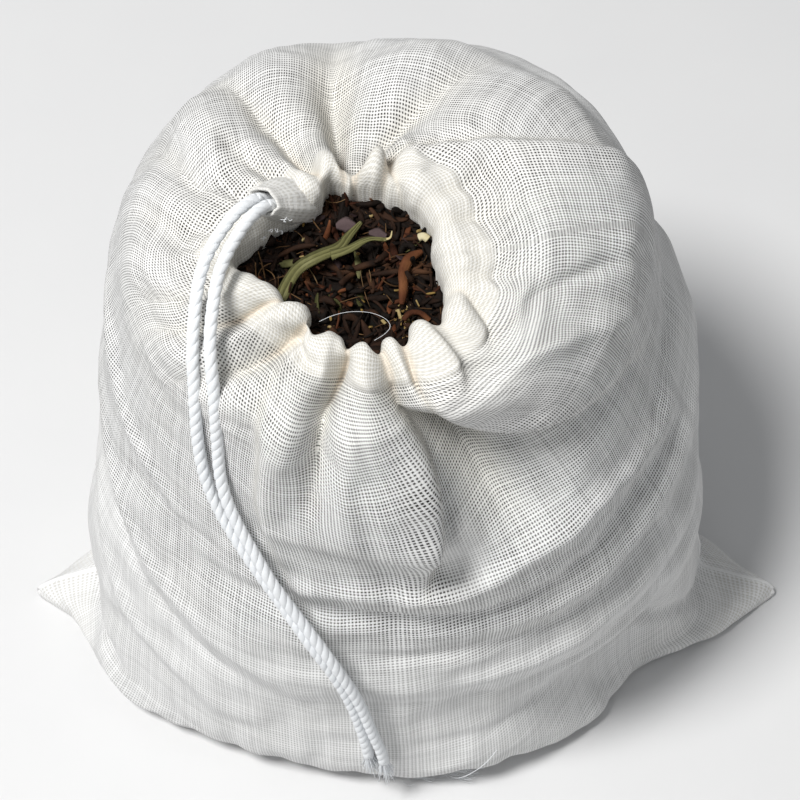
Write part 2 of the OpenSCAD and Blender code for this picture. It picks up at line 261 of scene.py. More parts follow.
# Ridges and furrows that run round the sack: (direction, row, height, half width).
BANDS = [
    [(-2, 7.6, 2.2, 11.0), (40, 7.7, 1.4, 9.0), (70, 8.0, 0.3, 6.0), (130, 8.0, 0.0, 6.0),
     (160, 7.8, 0.6, 9.0), (200, 7.7, 1.8, 10.0), (240, 7.7, 1.4, 10.0), (270, 7.5, 0.6, 10.0),
     (300, 7.7, 1.6, 12.0), (362, 7.6, 2.2, 11.0)],
    [(40, 6.6, 0, 9.0), (60, 6.6, -1.6, 10.0), (80, 6.6, -2.6, 11.0), (100, 6.6, -1.0, 10.0),
     (125, 6.6, -2.2, 11.0), (150, 6.6, -1.8, 11.0), (170, 6.6, 0, 10.0)],
    [(338, 8.2, 0, 2.4), (346, 7.7, -0.9, 2.6), (350, 7.3, -1.2, 3.0), (355, 6.7, -0.9, 3.4),
     (360, 6.2, 0, 3.4)],
    [(312, 8.2, 0, 3.0), (322, 7.8, 0.9, 3.0), (330, 7.4, 1.3, 3.2), (338, 6.9, 1.2, 3.4),
     (350, 6.3, 0, 3.4)],
    [(222, 5.1, 0, 2.0), (240, 4.9, 0.8, 2.0), (262, 5.2, 1.3, 2.2), (280, 5.25, 1.7, 2.2),
     (296, 5.55, 1.8, 2.2), (314, 5.6, 1.6, 2.0), (334, 5.4, 1.2, 2.0), (352, 5.3, 0, 2.0)],
    [(236, 4.7, 0, 2.4), (250, 4.8, -0.8, 2.2), (266, 4.85, -1.4, 2.0), (282, 4.8, -1.6, 2.0),
     (298, 5.0, -1.7, 1.8), (316, 5.2, -1.6, 1.7), (338, 5.15, -1.0, 1.7), (356, 5.0, 0, 1.6)],
    [(244, 4.5, 0, 2.2), (262, 4.6, 1.0, 2.2), (280, 4.52, 1.4, 2.2), (298, 4.62, 1.6, 2.2),
     (320, 4.85, 1.5, 2.0), (346, 4.9, 1.0, 2.0), (366, 4.9, 0, 2.0)],
    [(256, 4.2, 0, 1.6), (276, 4.2, -1.3, 1.3), (298, 4.3, -1.9, 1.2), (322, 4.5, -1.8, 1.2),
     (350, 4.55, 0, 1.6)],
    [(236, 3.7, 0, 2.4), (254, 3.8, 1.0, 2.4), (272, 3.65, 1.2, 2.4), (294, 3.9, 1.4, 2.2),
     (318, 4.15, 1.3, 2.2), (344, 4.3, 0.8, 2.2), (364, 4.3, 0, 2.2)],
    [(262, 3.1, 0, 2.6), (288, 3.1, 1.0, 2.6), (312, 3.4, 1.3, 2.4), (338, 3.7, 1.0, 2.4),
     (360, 3.8, 0, 2.4)],
    [(186, 5.0, 0, 2.4), (200, 4.8, 1.2, 2.2), (218, 4.3, 1.4, 2.2), (232, 4.05, 1.2, 2.2),
     (250, 3.6, 0.8, 2.4), (264, 3.4, 0, 2.4)],
    [(190, 4.3, 0, 1.6), (204, 4.2, -1.4, 1.4), (220, 3.8, -1.8, 1.3), (236, 3.5, -1.3, 1.4),
     (256, 3.2, 0, 1.8)],
    [(262, 3.35, 0, 1.5), (284, 3.35, -1.2, 1.2), (306, 3.55, -1.6, 1.2), (330, 3.9, -1.3, 1.3),
     (352, 4.0, 0, 1.5)],
    [(246, 2.6, 0, 1.8), (270, 2.5, -1.0, 1.4), (294, 2.7, -1.3, 1.4), (318, 2.9, -1.0, 1.5),
     (336, 3.0, 0, 2)],
    [(178, 4.2, 0, 2.4), (196, 3.8, 1.2, 2.4), (214, 3.2, 1.4, 2.4), (232, 2.9, 1.0, 2.4),
     (250, 2.6, 0, 2.4)],
    [(176, 6.0, 0, 2.6), (192, 5.9, 1.0, 2.4), (210, 5.6, 1.2, 2.4), (226, 5.3, 0.8, 2.4),
     (240, 5.2, 0, 2.4)],
    [(214, 9.25, 0, 1.2), (226, 9.3, -1.2, 1.0), (244, 9.4, -1.5, 1.0), (258, 9.3, -1.2, 1.0),
     (266, 9.2, 0, 1)],
    [(244, 6.0, 0, 0.8), (254, 5.98, 0.35, 0.7), (268, 6.02, 0.4, 0.7), (278, 6.0, 0.35, 0.7),
     (286, 6.0, 0, 0.8)],
    [(290, 2.9, 0, 2.4), (312, 3.1, -1.2, 2.2), (334, 2.7, -2.2, 2.2), (352, 2.1, -2.4, 2.0),
     (366, 1.9, -1.2, 2), (380, 2.2, 0, 2.0)],
    [(150, 2.0, 0, 2.2), (166, 1.8, -1.4, 2.0), (182, 1.9, -2.4, 2.0), (198, 2.3, -2.2, 2.0),
     (214, 2.1, -1, 2.2), (230, 2.2, 0, 2.2)],
    [(20, 6.2, 0, 3), (44, 6.0, 1.2, 3), (70, 5.8, 1.4, 3), (96, 5.9, 1.0, 3), (120, 6.1, 0, 3)],
    [(40, 4.6, 0, 3), (66, 4.4, 1.2, 3), (92, 4.5, 1.3, 3), (118, 4.4, 1.1, 3), (146, 4.7, 0, 3)],
    [(10, 3.3, 0, 3), (34, 3.2, 1.2, 3), (60, 3.4, 1.0, 3), (90, 3.2, 1.3, 3), (124, 3.4, 1.1, 3),
     (160, 3.2, 0, 3)],
]

# Rounded swellings: (direction, row, height, half width round, half width up).
SWELLINGS = [
    (281, 5.95, 2.2, 5.0, 4.5), (186, 3.0, 2.8, 18.0, 12.0), (182, 4.4, -1.6, 16.0, 5.0),
    (345, 8.3, 0.8, 14.0, 9.0), (12, 8.0, 0.5, 12.0, 9.0), (6, 6.7, 3.0, 16.0, 12.0),
    (316, 7.8, 1.4, 8.0, 8.0), (271, 6.7, 3.0, 11.0, 12.0), (200, 8.4, 1.0, 6.0, 5.0),
    (272, 8.2, -1.8, 11.0, 4.5), (284, 5.15, 4.0, 19.0, 8.5), (286, 3.0, -4.0, 32.0, 12.0),
    (318, 2.4, -6.5, 18.0, 14.0), (312, 6.0, 1.6, 14.0, 10.0), (256, 8.1, 1.5, 4.0, 7.0),
    (292, 9.4, 1.4, 2.6, 5.0), (279, 9.6, 0.8, 2.4, 5.0), (270, 6.1, 2.6, 13.0, 9.0),
    (300, 5.6, 2.2, 16.0, 7.0),
]


PUCKERS = 58


def noise_field(rng, rows, cols, cell_rows, cell_cols):
    """Smooth random field from -1 to 1, closed round the columns."""
    n_rows, n_cols = max(3, round(rows / cell_rows) + 3), max(4, round(cols / cell_cols))
    knots = rng.uniform(-1, 1, (n_rows, n_cols))
    y = np.linspace(0, n_rows - 2.001, rows)
    x = np.arange(cols) * n_cols / cols
    j, i = y.astype(int), x.astype(int)
    fy, fx = y - j, x - i
    fy, fx = (fy * fy * (3 - 2 * fy))[:, None], (fx * fx * (3 - 2 * fx))[None, :]
    a, b = knots[j][:, i % n_cols], knots[j][:, (i + 1) % n_cols]
    c, d = knots[j + 1][:, i % n_cols], knots[j + 1][:, (i + 1) % n_cols]
    return (a * (1 - fx) + b * fx) * (1 - fy) + (c * (1 - fx) + d * fx) * fy


def turn_gap(u, centre):
    """Signed angle from centre to u, from -180 to 180."""
    return (u - centre + 180) % 360 - 180


def fold_fields(u, v, per_degree, climb):
    """Height above the plain surface, push along u and up, and how much cloth each place hides, the mask for
    painted shade in the folds.
    climb is the length of cloth from the first row up to each row."""
    height = np.zeros((len(v), len(u)))
    push_u, push_v, fold_shade_mask = height.copy(), height.copy(), height.copy()
    for points in CREASES:
        pts = sorted(points)
        rows = [p[0] for p in pts]
        centre, depth, width = (open_curve(rows, [p[k] for p in pts], v, 0.15)[:, None] for k in (1, 2, 3))
        depth = depth * ((v >= rows[0] - 0.2) & (v <= rows[-1] + 1.2))[:, None]
        slope = np.gradient(centre[:, 0], climb)[:, None] * per_degree
        d = turn_gap(u[None, :], centre) * per_degree / np.sqrt(1 + slope**2)
        far = np.sqrt(d * d + 0.09) - 0.3
        height -= 1.25 * depth * np.exp(-((far / width) ** 1.25))
        height += 0.4 * np.minimum(depth, 3) * bell(far - 2.1 * width, 1.3 * width)
        fold_shade_mask += depth * bell(d, 0.55 * width)
    for side, overhang, points in PLEATS:
        pts = sorted(points)
        rows = [p[0] for p in pts]
        centre, rise, run = (open_curve(rows, [p[k] for p in pts], v, 0.15)[:, None] for k in (1, 2, 3))
        rise = rise * ((v >= rows[0] - 0.2) & (v <= rows[-1] + 1.2))[:, None]
        slope = np.gradient(centre[:, 0], climb)[:, None] * per_degree
        flat = np.sqrt(1 + slope**2)
        d = side * turn_gap(u[None, :], centre) * per_degree / flat
        up = 1 / (1 + np.exp(-np.clip(d / 0.45, -40, 40)))
        top = up * np.exp(-np.maximum(d, 0) / run)
        height += rise * top
        lean = overhang * rise / 4 * bell(d - 0.8, 1.6)
        push_u -= side * lean / flat
        push_v += side * lean * slope / flat
        fold_shade_mask += rise * bell(d + 0.6, 1.0)
    for points in BANDS:
        turns = [p[0] for p in points]
        uu = np.where(u < turns[0] - 2, u + 360, u)
        row, rise, width = (open_curve(turns, [p[k] for p in points], uu, 4)[None, :] for k in (1, 2, 3))
        rise = rise * ((uu >= turns[0]) & (uu <= turns[-1]))[None, :]
        d = climb[:, None] - np.interp(row, v, climb)
        height += rise * (0.65 + 0.35 * rising(row, 4, 1)) * bell(d, width)
    for turn, row, rise, wide, tall in SWELLINGS:
        d_round = turn_gap(u, turn)[None, :] * per_degree / wide
        d_up = (climb[:, None] - np.interp(row, v, climb)) / tall
        height += rise * np.exp(-(d_round**2 + d_up**2))
    return height, push_u, push_v, fold_shade_mask


def small_folds(u, v, per_degree, rng):
    """Fine puckers that run down from the stitched hem all round the neck."""
    height = np.zeros((len(v), len(u)))
    for k in range(PUCKERS):
        turn = (k + rng.uniform(-0.35, 0.35)) * 360 / PUCKERS
        low, drift = rng.uniform(6.3, 7.8), rng.uniform(-5, 5)
        depth, width = rng.uniform(0.35, 1.0), rng.uniform(0.6, 1.3)
        centre = turn + drift * (v - 9.5) / 2
        fade = rising(v, low, 1.2) * falling(v, 11.6, 0.8)
        d = turn_gap(u[None, :], centre[:, None]) * per_degree
        wide = width * (1 + 0.6 * np.clip(9 - v, 0, 3))[:, None]
        height -= (depth * fade)[:, None] * np.exp(-np.sqrt(d * d + 0.05) / wide)
    return height


def steps_along(grid):
    """Length of surface per degree round each row of the grid."""
    step = np.linalg.norm(np.roll(grid, -1, 1) - np.roll(grid, 1, 1), axis=-1) / 2
    return step / (360 / grid.shape[1])


def directions(grid, v):
    """Unit vectors round, up and outwards at every grid point."""
    around = np.roll(grid, -1, 1) - np.roll(grid, 1, 1)
    up = np.gradient(grid, v, axis=0)
    around /= np.maximum(np.linalg.norm(around, axis=-1, keepdims=True), 1e-9)
    up /= np.maximum(np.linalg.norm(up, axis=-1, keepdims=True), 1e-9)
    out = np.cross(around, up)
    out /= np.maximum(np.linalg.norm(out, axis=-1, keepdims=True), 1e-9)
    return around, up, out


def blur(field, times):
    """Evens out a field over its neighbours, closed round the columns."""
    for _ in range(times):
        field = 0.5 * field + 0.25 * (np.roll(field, 1, 1) + np.roll(field, -1, 1))
        padded = np.concatenate([field[:1], field, field[-1:]])
        field = 0.5 * field + 0.25 * (padded[:-2] + padded[2:])
    return field


# ---------------------------------------------------------------- mesh helpers


def make_mesh(name, points, faces, material, uv=None, normals=None, **attributes):
    """A smooth mesh object from millimetres, with thread coordinates, normals and number attributes."""
    mesh = bpy.data.meshes.new(name)
    mesh.from_pydata((np.asarray(points) * MM).tolist(), [], faces)
    mesh.polygons.foreach_set("use_smooth", np.ones(len(mesh.polygons), bool))
    loops = np.empty(len(mesh.loops), int)
    mesh.loops.foreach_get("vertex_index", loops)
    if uv is not None:
        layer = mesh.uv_layers.new(name="threads")
        layer.data.foreach_set("uv", np.asarray(uv)[loops].astype(np.float32).ravel())
    for key, values in attributes.items():
        layer = mesh.attributes.new(key, "FLOAT", "POINT")
        layer.data.foreach_set("value", np.asarray(values, np.float32))
    mesh.materials.append(material)
    mesh.update()
    if normals is not None:
        mesh.normals_split_custom_set_from_vertices(np.asarray(normals).tolist())
    obj = bpy.data.objects.new(name, mesh)
    bpy.context.scene.collection.objects.link(obj)
    return obj


def grid_faces(rows, cols, closed=False):
    j, i = np.meshgrid(np.arange(rows - 1), np.arange(cols if closed else cols - 1), indexing="ij")
    n = (i + 1) % cols
    corners = [j * cols + i, j * cols + n, (j + 1) * cols + n, (j + 1) * cols + i]
    return np.stack(corners, -1).reshape(-1, 4).tolist()


def metres(point):
    return tuple(float(c) for c in point * MM)


def place(piece, body, slot, *nodes):
    """Puts a piece on a body and hides the CAD nodes that it stands for. The argument slot is not used."""
    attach(piece, body)
    if nodes:
        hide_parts(*nodes)


# ---------------------------------------------------------------- materials


class Shader:
    """A node material, written as short calls that return sockets."""

    def __init__(self, name, roughness):
        self.material = bpy.data.materials.new(name)
        self.material.use_nodes = True
        self.tree = self.material.node_tree
        self.surface = next(n for n in self.tree.nodes if n.type == "BSDF_PRINCIPLED")
        self.surface.inputs["Roughness"].default_value = roughness
        self.surface.inputs["Specular IOR Level"].default_value = 0.15

    def node(self, kind, *values, **settings):
        n = self.tree.nodes.new("ShaderNode" + kind)
        for key, value in settings.items():
            setattr(n, key, value)
        for k, value in enumerate(values):
            self.give(n.inputs[k], value)
        return n

    def give(self, socket, value):
        if value is None:
            return
        if isinstance(value, bpy.types.NodeSocket):
            self.tree.links.new(value, socket)
        else:
            socket.default_value = value

    def math(self, operation, *values):
        return self.node("Math", *values, operation=operation).outputs[0]

    def add(self, a, b):
        return self.math("ADD", a, b)

    def subtract(self, a, b):
        return self.math("SUBTRACT", a, b)

    def times(self, a, b):
        return self.math("MULTIPLY", a, b)

    def ramp(self, value, low, high, out_low=0.0, out_high=1.0):
        n = self.node("MapRange", value, low, high, out_low, out_high, interpolation_type="SMOOTHSTEP")
        return n.outputs[0]

    def mix(self, share, a, b):
        n = self.node("Mix", data_type="RGBA")
        self.give(n.inputs["Factor"], share)
        self.give(n.inputs["A"], a)
        self.give(n.inputs["B"], b)
        return next(o for o in n.outputs if o.type == "RGBA")

    def noise(self, vector, scale, detail=2.0, roughness=0.5):
        n = self.node("TexNoise")
        self.give(n.inputs["Vector"], vector)
        n.inputs["Scale"].default_value = scale
        n.inputs["Detail"].default_value = detail
        n.inputs["Roughness"].default_value = roughness
        return n.outputs[0]

    def attribute(self, name):
        return self.node("Attribute", attribute_name=name).outputs["Fac"]

    def where(self):
        return self.node("TexCoord").outputs["Object"]

    def finish(self, colour, height=None, distance=0.0001, strength=1.0):
        self.give(self.surface.inputs["Base Color"], colour)
        if height is not None:
            n = self.node("Bump")
            n.inputs["Strength"].default_value = strength
            n.inputs["Distance"].default_value = distance
            self.give(n.inputs["Height"], height)
            self.give(self.surface.inputs["Normal"], n.outputs[0])
        return self.material


WHITE = (0.83, 0.83, 0.825, 1)
CREAM = (0.85, 0.83, 0.775, 1)
HOLE = (0.028, 0.024, 0.021, 1)
SHADED = (0.30, 0.295, 0.285, 1)
SHADED_LINING = (0.60, 0.57, 0.50, 1)
FOLD_SHADE_TAN = (0.78, 0.66, 0.52, 1)


def muslin_material(name, through):
    """Open plain weave from the thread coordinates. through is how dark the holes look."""
    s = Shader(name, 0.9)
    uv = s.node("UVMap", uv_map="threads").outputs[0]
    parts = s.node("SeparateXYZ", uv)
    # Threads wander a little, each has its own width and swells along its length, and they pass
    # over and under each other.
    drift = s.noise(uv, 0.045, 2.0)
    drift2 = s.noise(s.node("VectorMath", uv, (31.7, 12.9, 0), operation="ADD").outputs[0], 0.05, 2.0)
    x = s.add(parts.outputs[0], s.times(drift, 0.7))
    y = s.add(parts.outputs[1], s.times(drift2, 0.7))
    ix, iy = s.math("FLOOR", x), s.math("FLOOR", y)
    covers, tops, tints = [], [], []
    for along, across, number, other in ((y, x, ix, 0.0), (x, y, iy, 1.0)):
        off = s.math("ABSOLUTE", s.subtract(s.math("FRACT", across), 0.5))
        dice = s.node("TexWhiteNoise", noise_dimensions="1D")
        s.give(dice.inputs["W"], s.add(number, 17.0 * other))
        line = s.node("CombineXYZ", s.times(along, 0.09), s.times(number, 3.7), other)
        slub = s.noise(line.outputs[0], 1.0, 1.0)
        half = s.add(s.times(dice.outputs["Value"], 0.08), s.times(slub, 0.20))
        half = s.add(half, 0.130)
        cover = s.subtract(1.0, s.node(
            "MapRange", off, s.subtract(half, 0.05), s.add(half, 0.05), 0.0, 1.0,
            interpolation_type="SMOOTHSTEP").outputs[0])
        wave = s.math("COSINE", s.times(s.add(s.subtract(along, 0.5), s.add(number, other)), math.pi))
        round_ = s.subtract(1.0, s.times(s.times(off, off), 3.0))
        tops.append(s.times(s.times(cover, round_), s.add(s.times(wave, 0.28), 0.72)))
        covers.append(cover)
        tints.append(dice.outputs["Value"])
    # Where no thread lies, what is behind shows: dark herbs, shaded cloth, or the second layer of the hem in
    # painted shade.
    hole = s.times(s.subtract(1.0, covers[0]), s.subtract(1.0, covers[1]))
    height = s.math("MAXIMUM", tops[0], tops[1])
    cloudy = s.noise(uv, 0.03, 3.0)
    cream = s.add(s.attribute("cream"), s.times(s.subtract(cloudy, 0.5), 0.5))
    thread = s.mix(s.math("MINIMUM", s.math("MAXIMUM", cream, 0.0), 1.0), WHITE, CREAM)
    # Painted warm shade: the deepest folds near the mouth turn tan.
    thread = s.mix(s.ramp(cream, 0.95, 1.45, 0.0, 0.7), thread, FOLD_SHADE_TAN)
    shade = s.add(0.86, s.times(s.add(tints[0], tints[1]), 0.07))
    sheer = s.attribute("sheer")
    # Painted shade in the dips of the weave and a slight painted highlight on the thread crowns, by thread
    # height; weaker where little herb shows through.
    weave_shade = s.subtract(s.ramp(height, 0.25, 0.95, 0.66, 1.06), 1.0)
    weave_shade = s.times(weave_shade, s.add(0.45, s.times(sheer, 0.55)))
    shade = s.times(shade, s.add(weave_shade, 1.0))
    thread = s.node("VectorMath", thread, operation="SCALE")
    s.give(thread.inputs["Scale"], shade)
    behind = s.times(sheer, s.ramp(s.noise(uv, 0.11, 2.0), 0.25, 0.6, 0.45, 1.0))
    dark = s.mix(behind, SHADED, HOLE)
    # The second layer of the hem and corners, seen through the holes, in painted shade.
    dark = s.mix(s.attribute("double"), dark, SHADED_LINING)
    seen = s.times(through, s.add(0.4, s.times(sheer, 0.6)))
    colour = s.mix(s.times(hole, seen), thread.outputs[0], dark)
    return s.finish(colour, height, 0.00012, 0.35)


def cord_material():
    s = Shader("cord_cotton", 0.75)
    p = s.where()
    fine = s.noise(p, 2600, 3.0)
    broad = s.noise(p, 220, 2.0)
    colour = s.mix(s.times(fine, 0.8), (0.86, 0.88, 0.90, 1), (0.70, 0.73, 0.77, 1))
    colour = s.mix(s.times(broad, 0.35), colour, (0.90, 0.90, 0.88, 1))
    return s.finish(colour, fine, 0.0001, 0.6)


def herb_material(name, dark, light, tip, roughness=0.8):
    """Dried plant matter: three colours by a tone for each shred and by noise along it."""
    s = Shader(name, roughness)
    p = s.where()
    grain = s.noise(p, 900, 3.0, 0.65)
    patch = s.noise(p, 150, 2.0)
    tone = s.attribute("tone")
    share = s.ramp(s.add(s.times(tone, 0.8), s.times(grain, 0.4)), 0.25, 1.0)
    colour = s.mix(share, (*dark, 1), (*light, 1))
    colour = s.mix(s.ramp(s.add(patch, s.times(tone, 0.25)), 0.62, 0.9), colour, (*tip, 1))
    return s.finish(colour, grain, 0.0003, 0.8)


MUSLIN = muslin_material("muslin_weave", 1.0)
HEM = muslin_material("hem_cloth", 0.5)
CORD = cord_material()
BULK = herb_material("herb_bulk", (0.004, 0.003, 0.002), (0.022, 0.012, 0.007), (0.035, 0.018, 0.009))
SHRED = herb_material("root_brown", (0.005, 0.003, 0.002), (0.034, 0.015, 0.008), (0.085, 0.038, 0.018))
BARK = herb_material("bark_red", (0.030, 0.009, 0.004), (0.12, 0.040, 0.016), (0.22, 0.09, 0.035))
LEAF = herb_material("leaf_olive", (0.045, 0.044, 0.015), (0.16, 0.155, 0.06), (0.25, 0.24, 0.12), 0.75)
STEM = herb_material("stem_tan", (0.06, 0.03, 0.012), (0.24, 0.14, 0.065), (0.34, 0.24, 0.13))
PEEL = herb_material("peel_mauve", (0.025, 0.014, 0.014), (0.08, 0.055, 0.056), (0.12, 0.085, 0.085))
FLOWER = herb_material("flower_yellow", (0.22, 0.14, 0.04), (0.50, 0.42, 0.22), (0.62, 0.58, 0.42))

# ---------------------------------------------------------------- the cloth

COLS, BASE_ROWS, WALL_ROWS, LIP_ROWS = 512, 16, 168, 64
U = np.arange(COLS) * 360 / COLS
V = np.concatenate([
    np.linspace(-1, 0, BASE_ROWS, endpoint=False),
    np.linspace(0, NECK_V, WALL_ROWS, endpoint=False),
    np.linspace(NECK_V, INSIDE_V, LIP_ROWS),
])
rng = np.random.default_rng(7)
plain = base_surface(U, V)
# The neck is rounder than the rows below and above it.
shoulder = (rising(V, 6.4, 0.9) * falling(V, 9.7, 0.9))[:, None, None]
plain = plain * (1 - shoulder) + blur(plain, 90) * shoulder
per_degree = np.maximum(steps_along(plain), 0.05)
rise = np.linalg.norm(np.diff(plain, axis=0), axis=-1).mean(1)
climb = np.concatenate([[0], np.cumsum(np.maximum(rise, 0.05))])
height, push_u, push_v, fold_shade_mask = fold_fields(U, V, per_degree, climb)
# The big smooth bulge right of the mouth has few puckers.
smooth_lobe = 1 - 0.75 * falling(np.abs(turn_gap(U, 352)), 62, 12)[None, :]
height += small_folds(U, V, per_degree, rng) * smooth_lobe
above = rising(V, 0.4, 1.2)[:, None]
lip_calm = 1 - 0.55 * rising(V, 9.2, 0.8)[:, None]
height += 0.38 * above * noise_field(rng, len(V), COLS, 12, 26)
height += 0.20 * above * noise_field(rng, len(V), COLS, 5, 9)
height += 0.8 * rising(V, 7.5, 2)[:, None] * noise_field(rng, len(V), COLS, 60, 17) * smooth_lobe
around, up, out = directions(blur(plain, 6), V)
calm_out = blur(out, 60)
calm_out /= np.linalg.norm(calm_out, axis=-1, keepdims=True)
calm = falling(V, 9.8, 1.0)[:, None, None]
out = out * (1 - calm) + calm_out * calm
out /= np.linalg.norm(out, axis=-1, keepdims=True)
# The line of stitches that closes the hem's tunnel.
height -= 0.45 * bell(climb - np.interp(STITCH_V, V, climb), 0.6)[:, None]
height = height * above * lip_calm
# The skirt spreads on the table at the front left and beside the right corner.
skirt = 1.6 * bell(turn_gap(U, 207), 21) * (1 - 0.85 * bell(turn_gap(U, 180), 12))
skirt += 0.5 * bell(turn_gap(U, 348), 9)
skirt -= 0.5 * bell(turn_gap(U, 326), 12)
skirt = skirt[None, :] * (rising(V, -1, 1.3) * bell(np.maximum(V - 1.4, 0), 1.1))[:, None]
plain[..., :2] += 4.6 * skirt[..., None] * np.stack([np.cos(U * DEG), 0.5 * np.sin(U * DEG)], -1)[None]
cloth = plain + out * height[..., None]
cloth += around * (push_u * above)[..., None] + up * (push_v * above)[..., None]
cloth[..., 2] = np.maximum(cloth[..., 2], 0.05)
cloth = blur(cloth, 1)


# Height of the herbs' surface in the mouth's directions.
HERB_FLOOR = -CASING_R - 2.6


def herb_bulk():
    """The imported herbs: they fill the cloth from inside and end in a lumpy bowl under the mouth."""
    n = 128
    low = height.copy()
    for _ in range(7):
        low = np.minimum(low, np.minimum(np.roll(low, 1, 1), np.roll(low, -1, 1)))
        low[1:-1] = np.minimum(low[1:-1], np.minimum(low[2:], low[:-2]))
    low = np.minimum(blur(low, 10), 0.5) - 2.4 - 3.2 * falling(V, 3.4, 2.4)[:, None]
    inside = blur(base_surface(U, V, 0) + out * low[..., None], 4)
    rows = [j for j in range(BASE_ROWS + 6, len(V), 2) if V[j] < NECK_V - 0.2]
    side = inside[rows][:, ::COLS // n]
    rim = frame_to_mouth(side[-1])
    bowl = []
    for share in np.linspace(0, 1, 34)[1:]:
        r = 1 - share
        p = rim * [r, r, 1]
        p[:, 2] = rim[:, 2] * (1 - share) ** 2 + (HERB_FLOOR + 0.4) * (1 - (1 - share) ** 2)
        bowl.append(mouth_to_frame(p))
    grid = np.concatenate([side, np.array(bowl[:-1])])
    lumps = noise_field(rng, len(grid), n, 4, 5) + 0.7 * noise_field(rng, len(grid), n, 2, 2.5)
    o = directions(grid, np.arange(len(grid), dtype=float))[2]
    grid = grid + o * (0.45 * lumps)[..., None] * rising(np.arange(len(grid)), 3, 6)[:, None, None]
    grid[..., 2] = np.maximum(grid[..., 2], 1.2)
    points = np.concatenate([grid.reshape(-1, 3), grid[:1].mean(1), grid[-1:].mean(1)])
    faces = grid_faces(len(grid), n, True)
    low, high, top = len(points) - 2, len(points) - 1, (len(grid) - 1) * n
    faces += [[low, (i + 1) % n, i] for i in range(n)]
    faces += [[high, top + i, top + (i + 1) % n] for i in range(n)]
    return make_mesh("herb_bulk", points, faces, BULK, tone=rng.uniform(0, 0.5, len(points)))


bulk = herb_bulk()
place(bulk, "bag", "herb", "herb_core")

SIM_SCALE, SIM_FRAMES, SIM_REACH = 10, 16, 5.0


def square(half_side, z):
    corners = ((-1, -1), (1, -1), (1, 1), (-1, 1))
    return np.array([[x * half_side, y * half_side, z] for x, y in corners], float)


def settle(grid, packing):
    """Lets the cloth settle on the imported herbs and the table, SIM_SCALE times as large as real."""
    scene = bpy.context.scene
    rows, cols = len(V) // 2, COLS // 2
    coarse = grid[: 2 * rows : 2, ::2]

    def temporary(name, points, faces):
        mesh = bpy.data.meshes.new(name)
        mesh.from_pydata((points * MM * SIM_SCALE).tolist(), [], faces)
        obj = bpy.data.objects.new(name, mesh)
        scene.collection.objects.link(obj)
        return obj

    points = np.empty(len(packing.data.vertices) * 3)
    packing.data.vertices.foreach_get("co", points)
    faces = [list(f.vertices) for f in packing.data.polygons]
    core = temporary("sim_core", points.reshape(-1, 3) / MM, faces)
    table = temporary("sim_table", square(200, 0), [[0, 1, 2, 3]])
    for hard in (core, table):
        hard.modifiers.new("collision", "COLLISION")
        hard.collision.thickness_outer = 0.004
        hard.collision.cloth_friction = 20
    sack = temporary("sim_sack", coarse.reshape(-1, 3), grid_faces(rows, cols, True))
    held = sack.vertex_groups.new(name="held")
    v = V[: 2 * rows : 2]
    grip = np.interp(v, [-1, 0.1, 0.6, 5.0, 7.2, 8.6, 12], [1, 1, 0.25, 0.25, 0.5, 0.9, 1.0])
    for j in range(rows):
        held.add(list(range(j * cols, (j + 1) * cols)), float(grip[j]), "REPLACE")
    sim = sack.modifiers.new("cloth", "CLOTH")
    s = sim.settings
    s.quality, s.mass, s.air_damping = 6, 0.03, 3
    s.tension_stiffness, s.compression_stiffness, s.shear_stiffness, s.bending_stiffness = 25, 25, 8, 0.25
    s.vertex_group_mass, s.pin_stiffness, s.shrink_min = "held", 0.6, -0.035
    sim.collision_settings.distance_min = 0.005
    sim.collision_settings.collision_quality = 2
    sim.point_cache.frame_start, sim.point_cache.frame_end = 1, SIM_FRAMES
    for f in range(1, SIM_FRAMES + 1):
        scene.frame_set(f)
    result = sack.evaluated_get(bpy.context.evaluated_depsgraph_get())
    moved = np.empty(rows * cols * 3)
    result.data.vertices.foreach_get("co", moved)
    moved = moved.reshape(rows, cols, 3) / (MM * SIM_SCALE) - coarse
    for obj in (sack, core, table):
        bpy.data.objects.remove(obj, do_unlink=True)
    scene.frame_set(1)
    size = np.linalg.norm(moved, axis=-1, keepdims=True)
    moved *= np.minimum(1, SIM_REACH / np.maximum(size, 1e-6))
    moved = blur(moved, 1)
    j = np.clip(np.arange(len(V)) / 2, 0, rows - 1.001)
    i = np.arange(COLS) / 2
    j0, i0 = j.astype(int), i.astype(int)
    fj, fi = (j - j0)[:, None, None], (i - i0)[None, :, None]
    i1 = (i0 + 1) % cols
    low = moved[j0][:, i0] * (1 - fi) + moved[j0][:, i1] * fi
    high = moved[j0 + 1][:, i0] * (1 - fi) + moved[j0 + 1][:, i1] * fi
    return grid + low * (1 - fj) + high * fj


cloth = blur(settle(cloth, bulk), 1)
cloth[..., 2] = np.maximum(cloth[..., 2], 0.05)


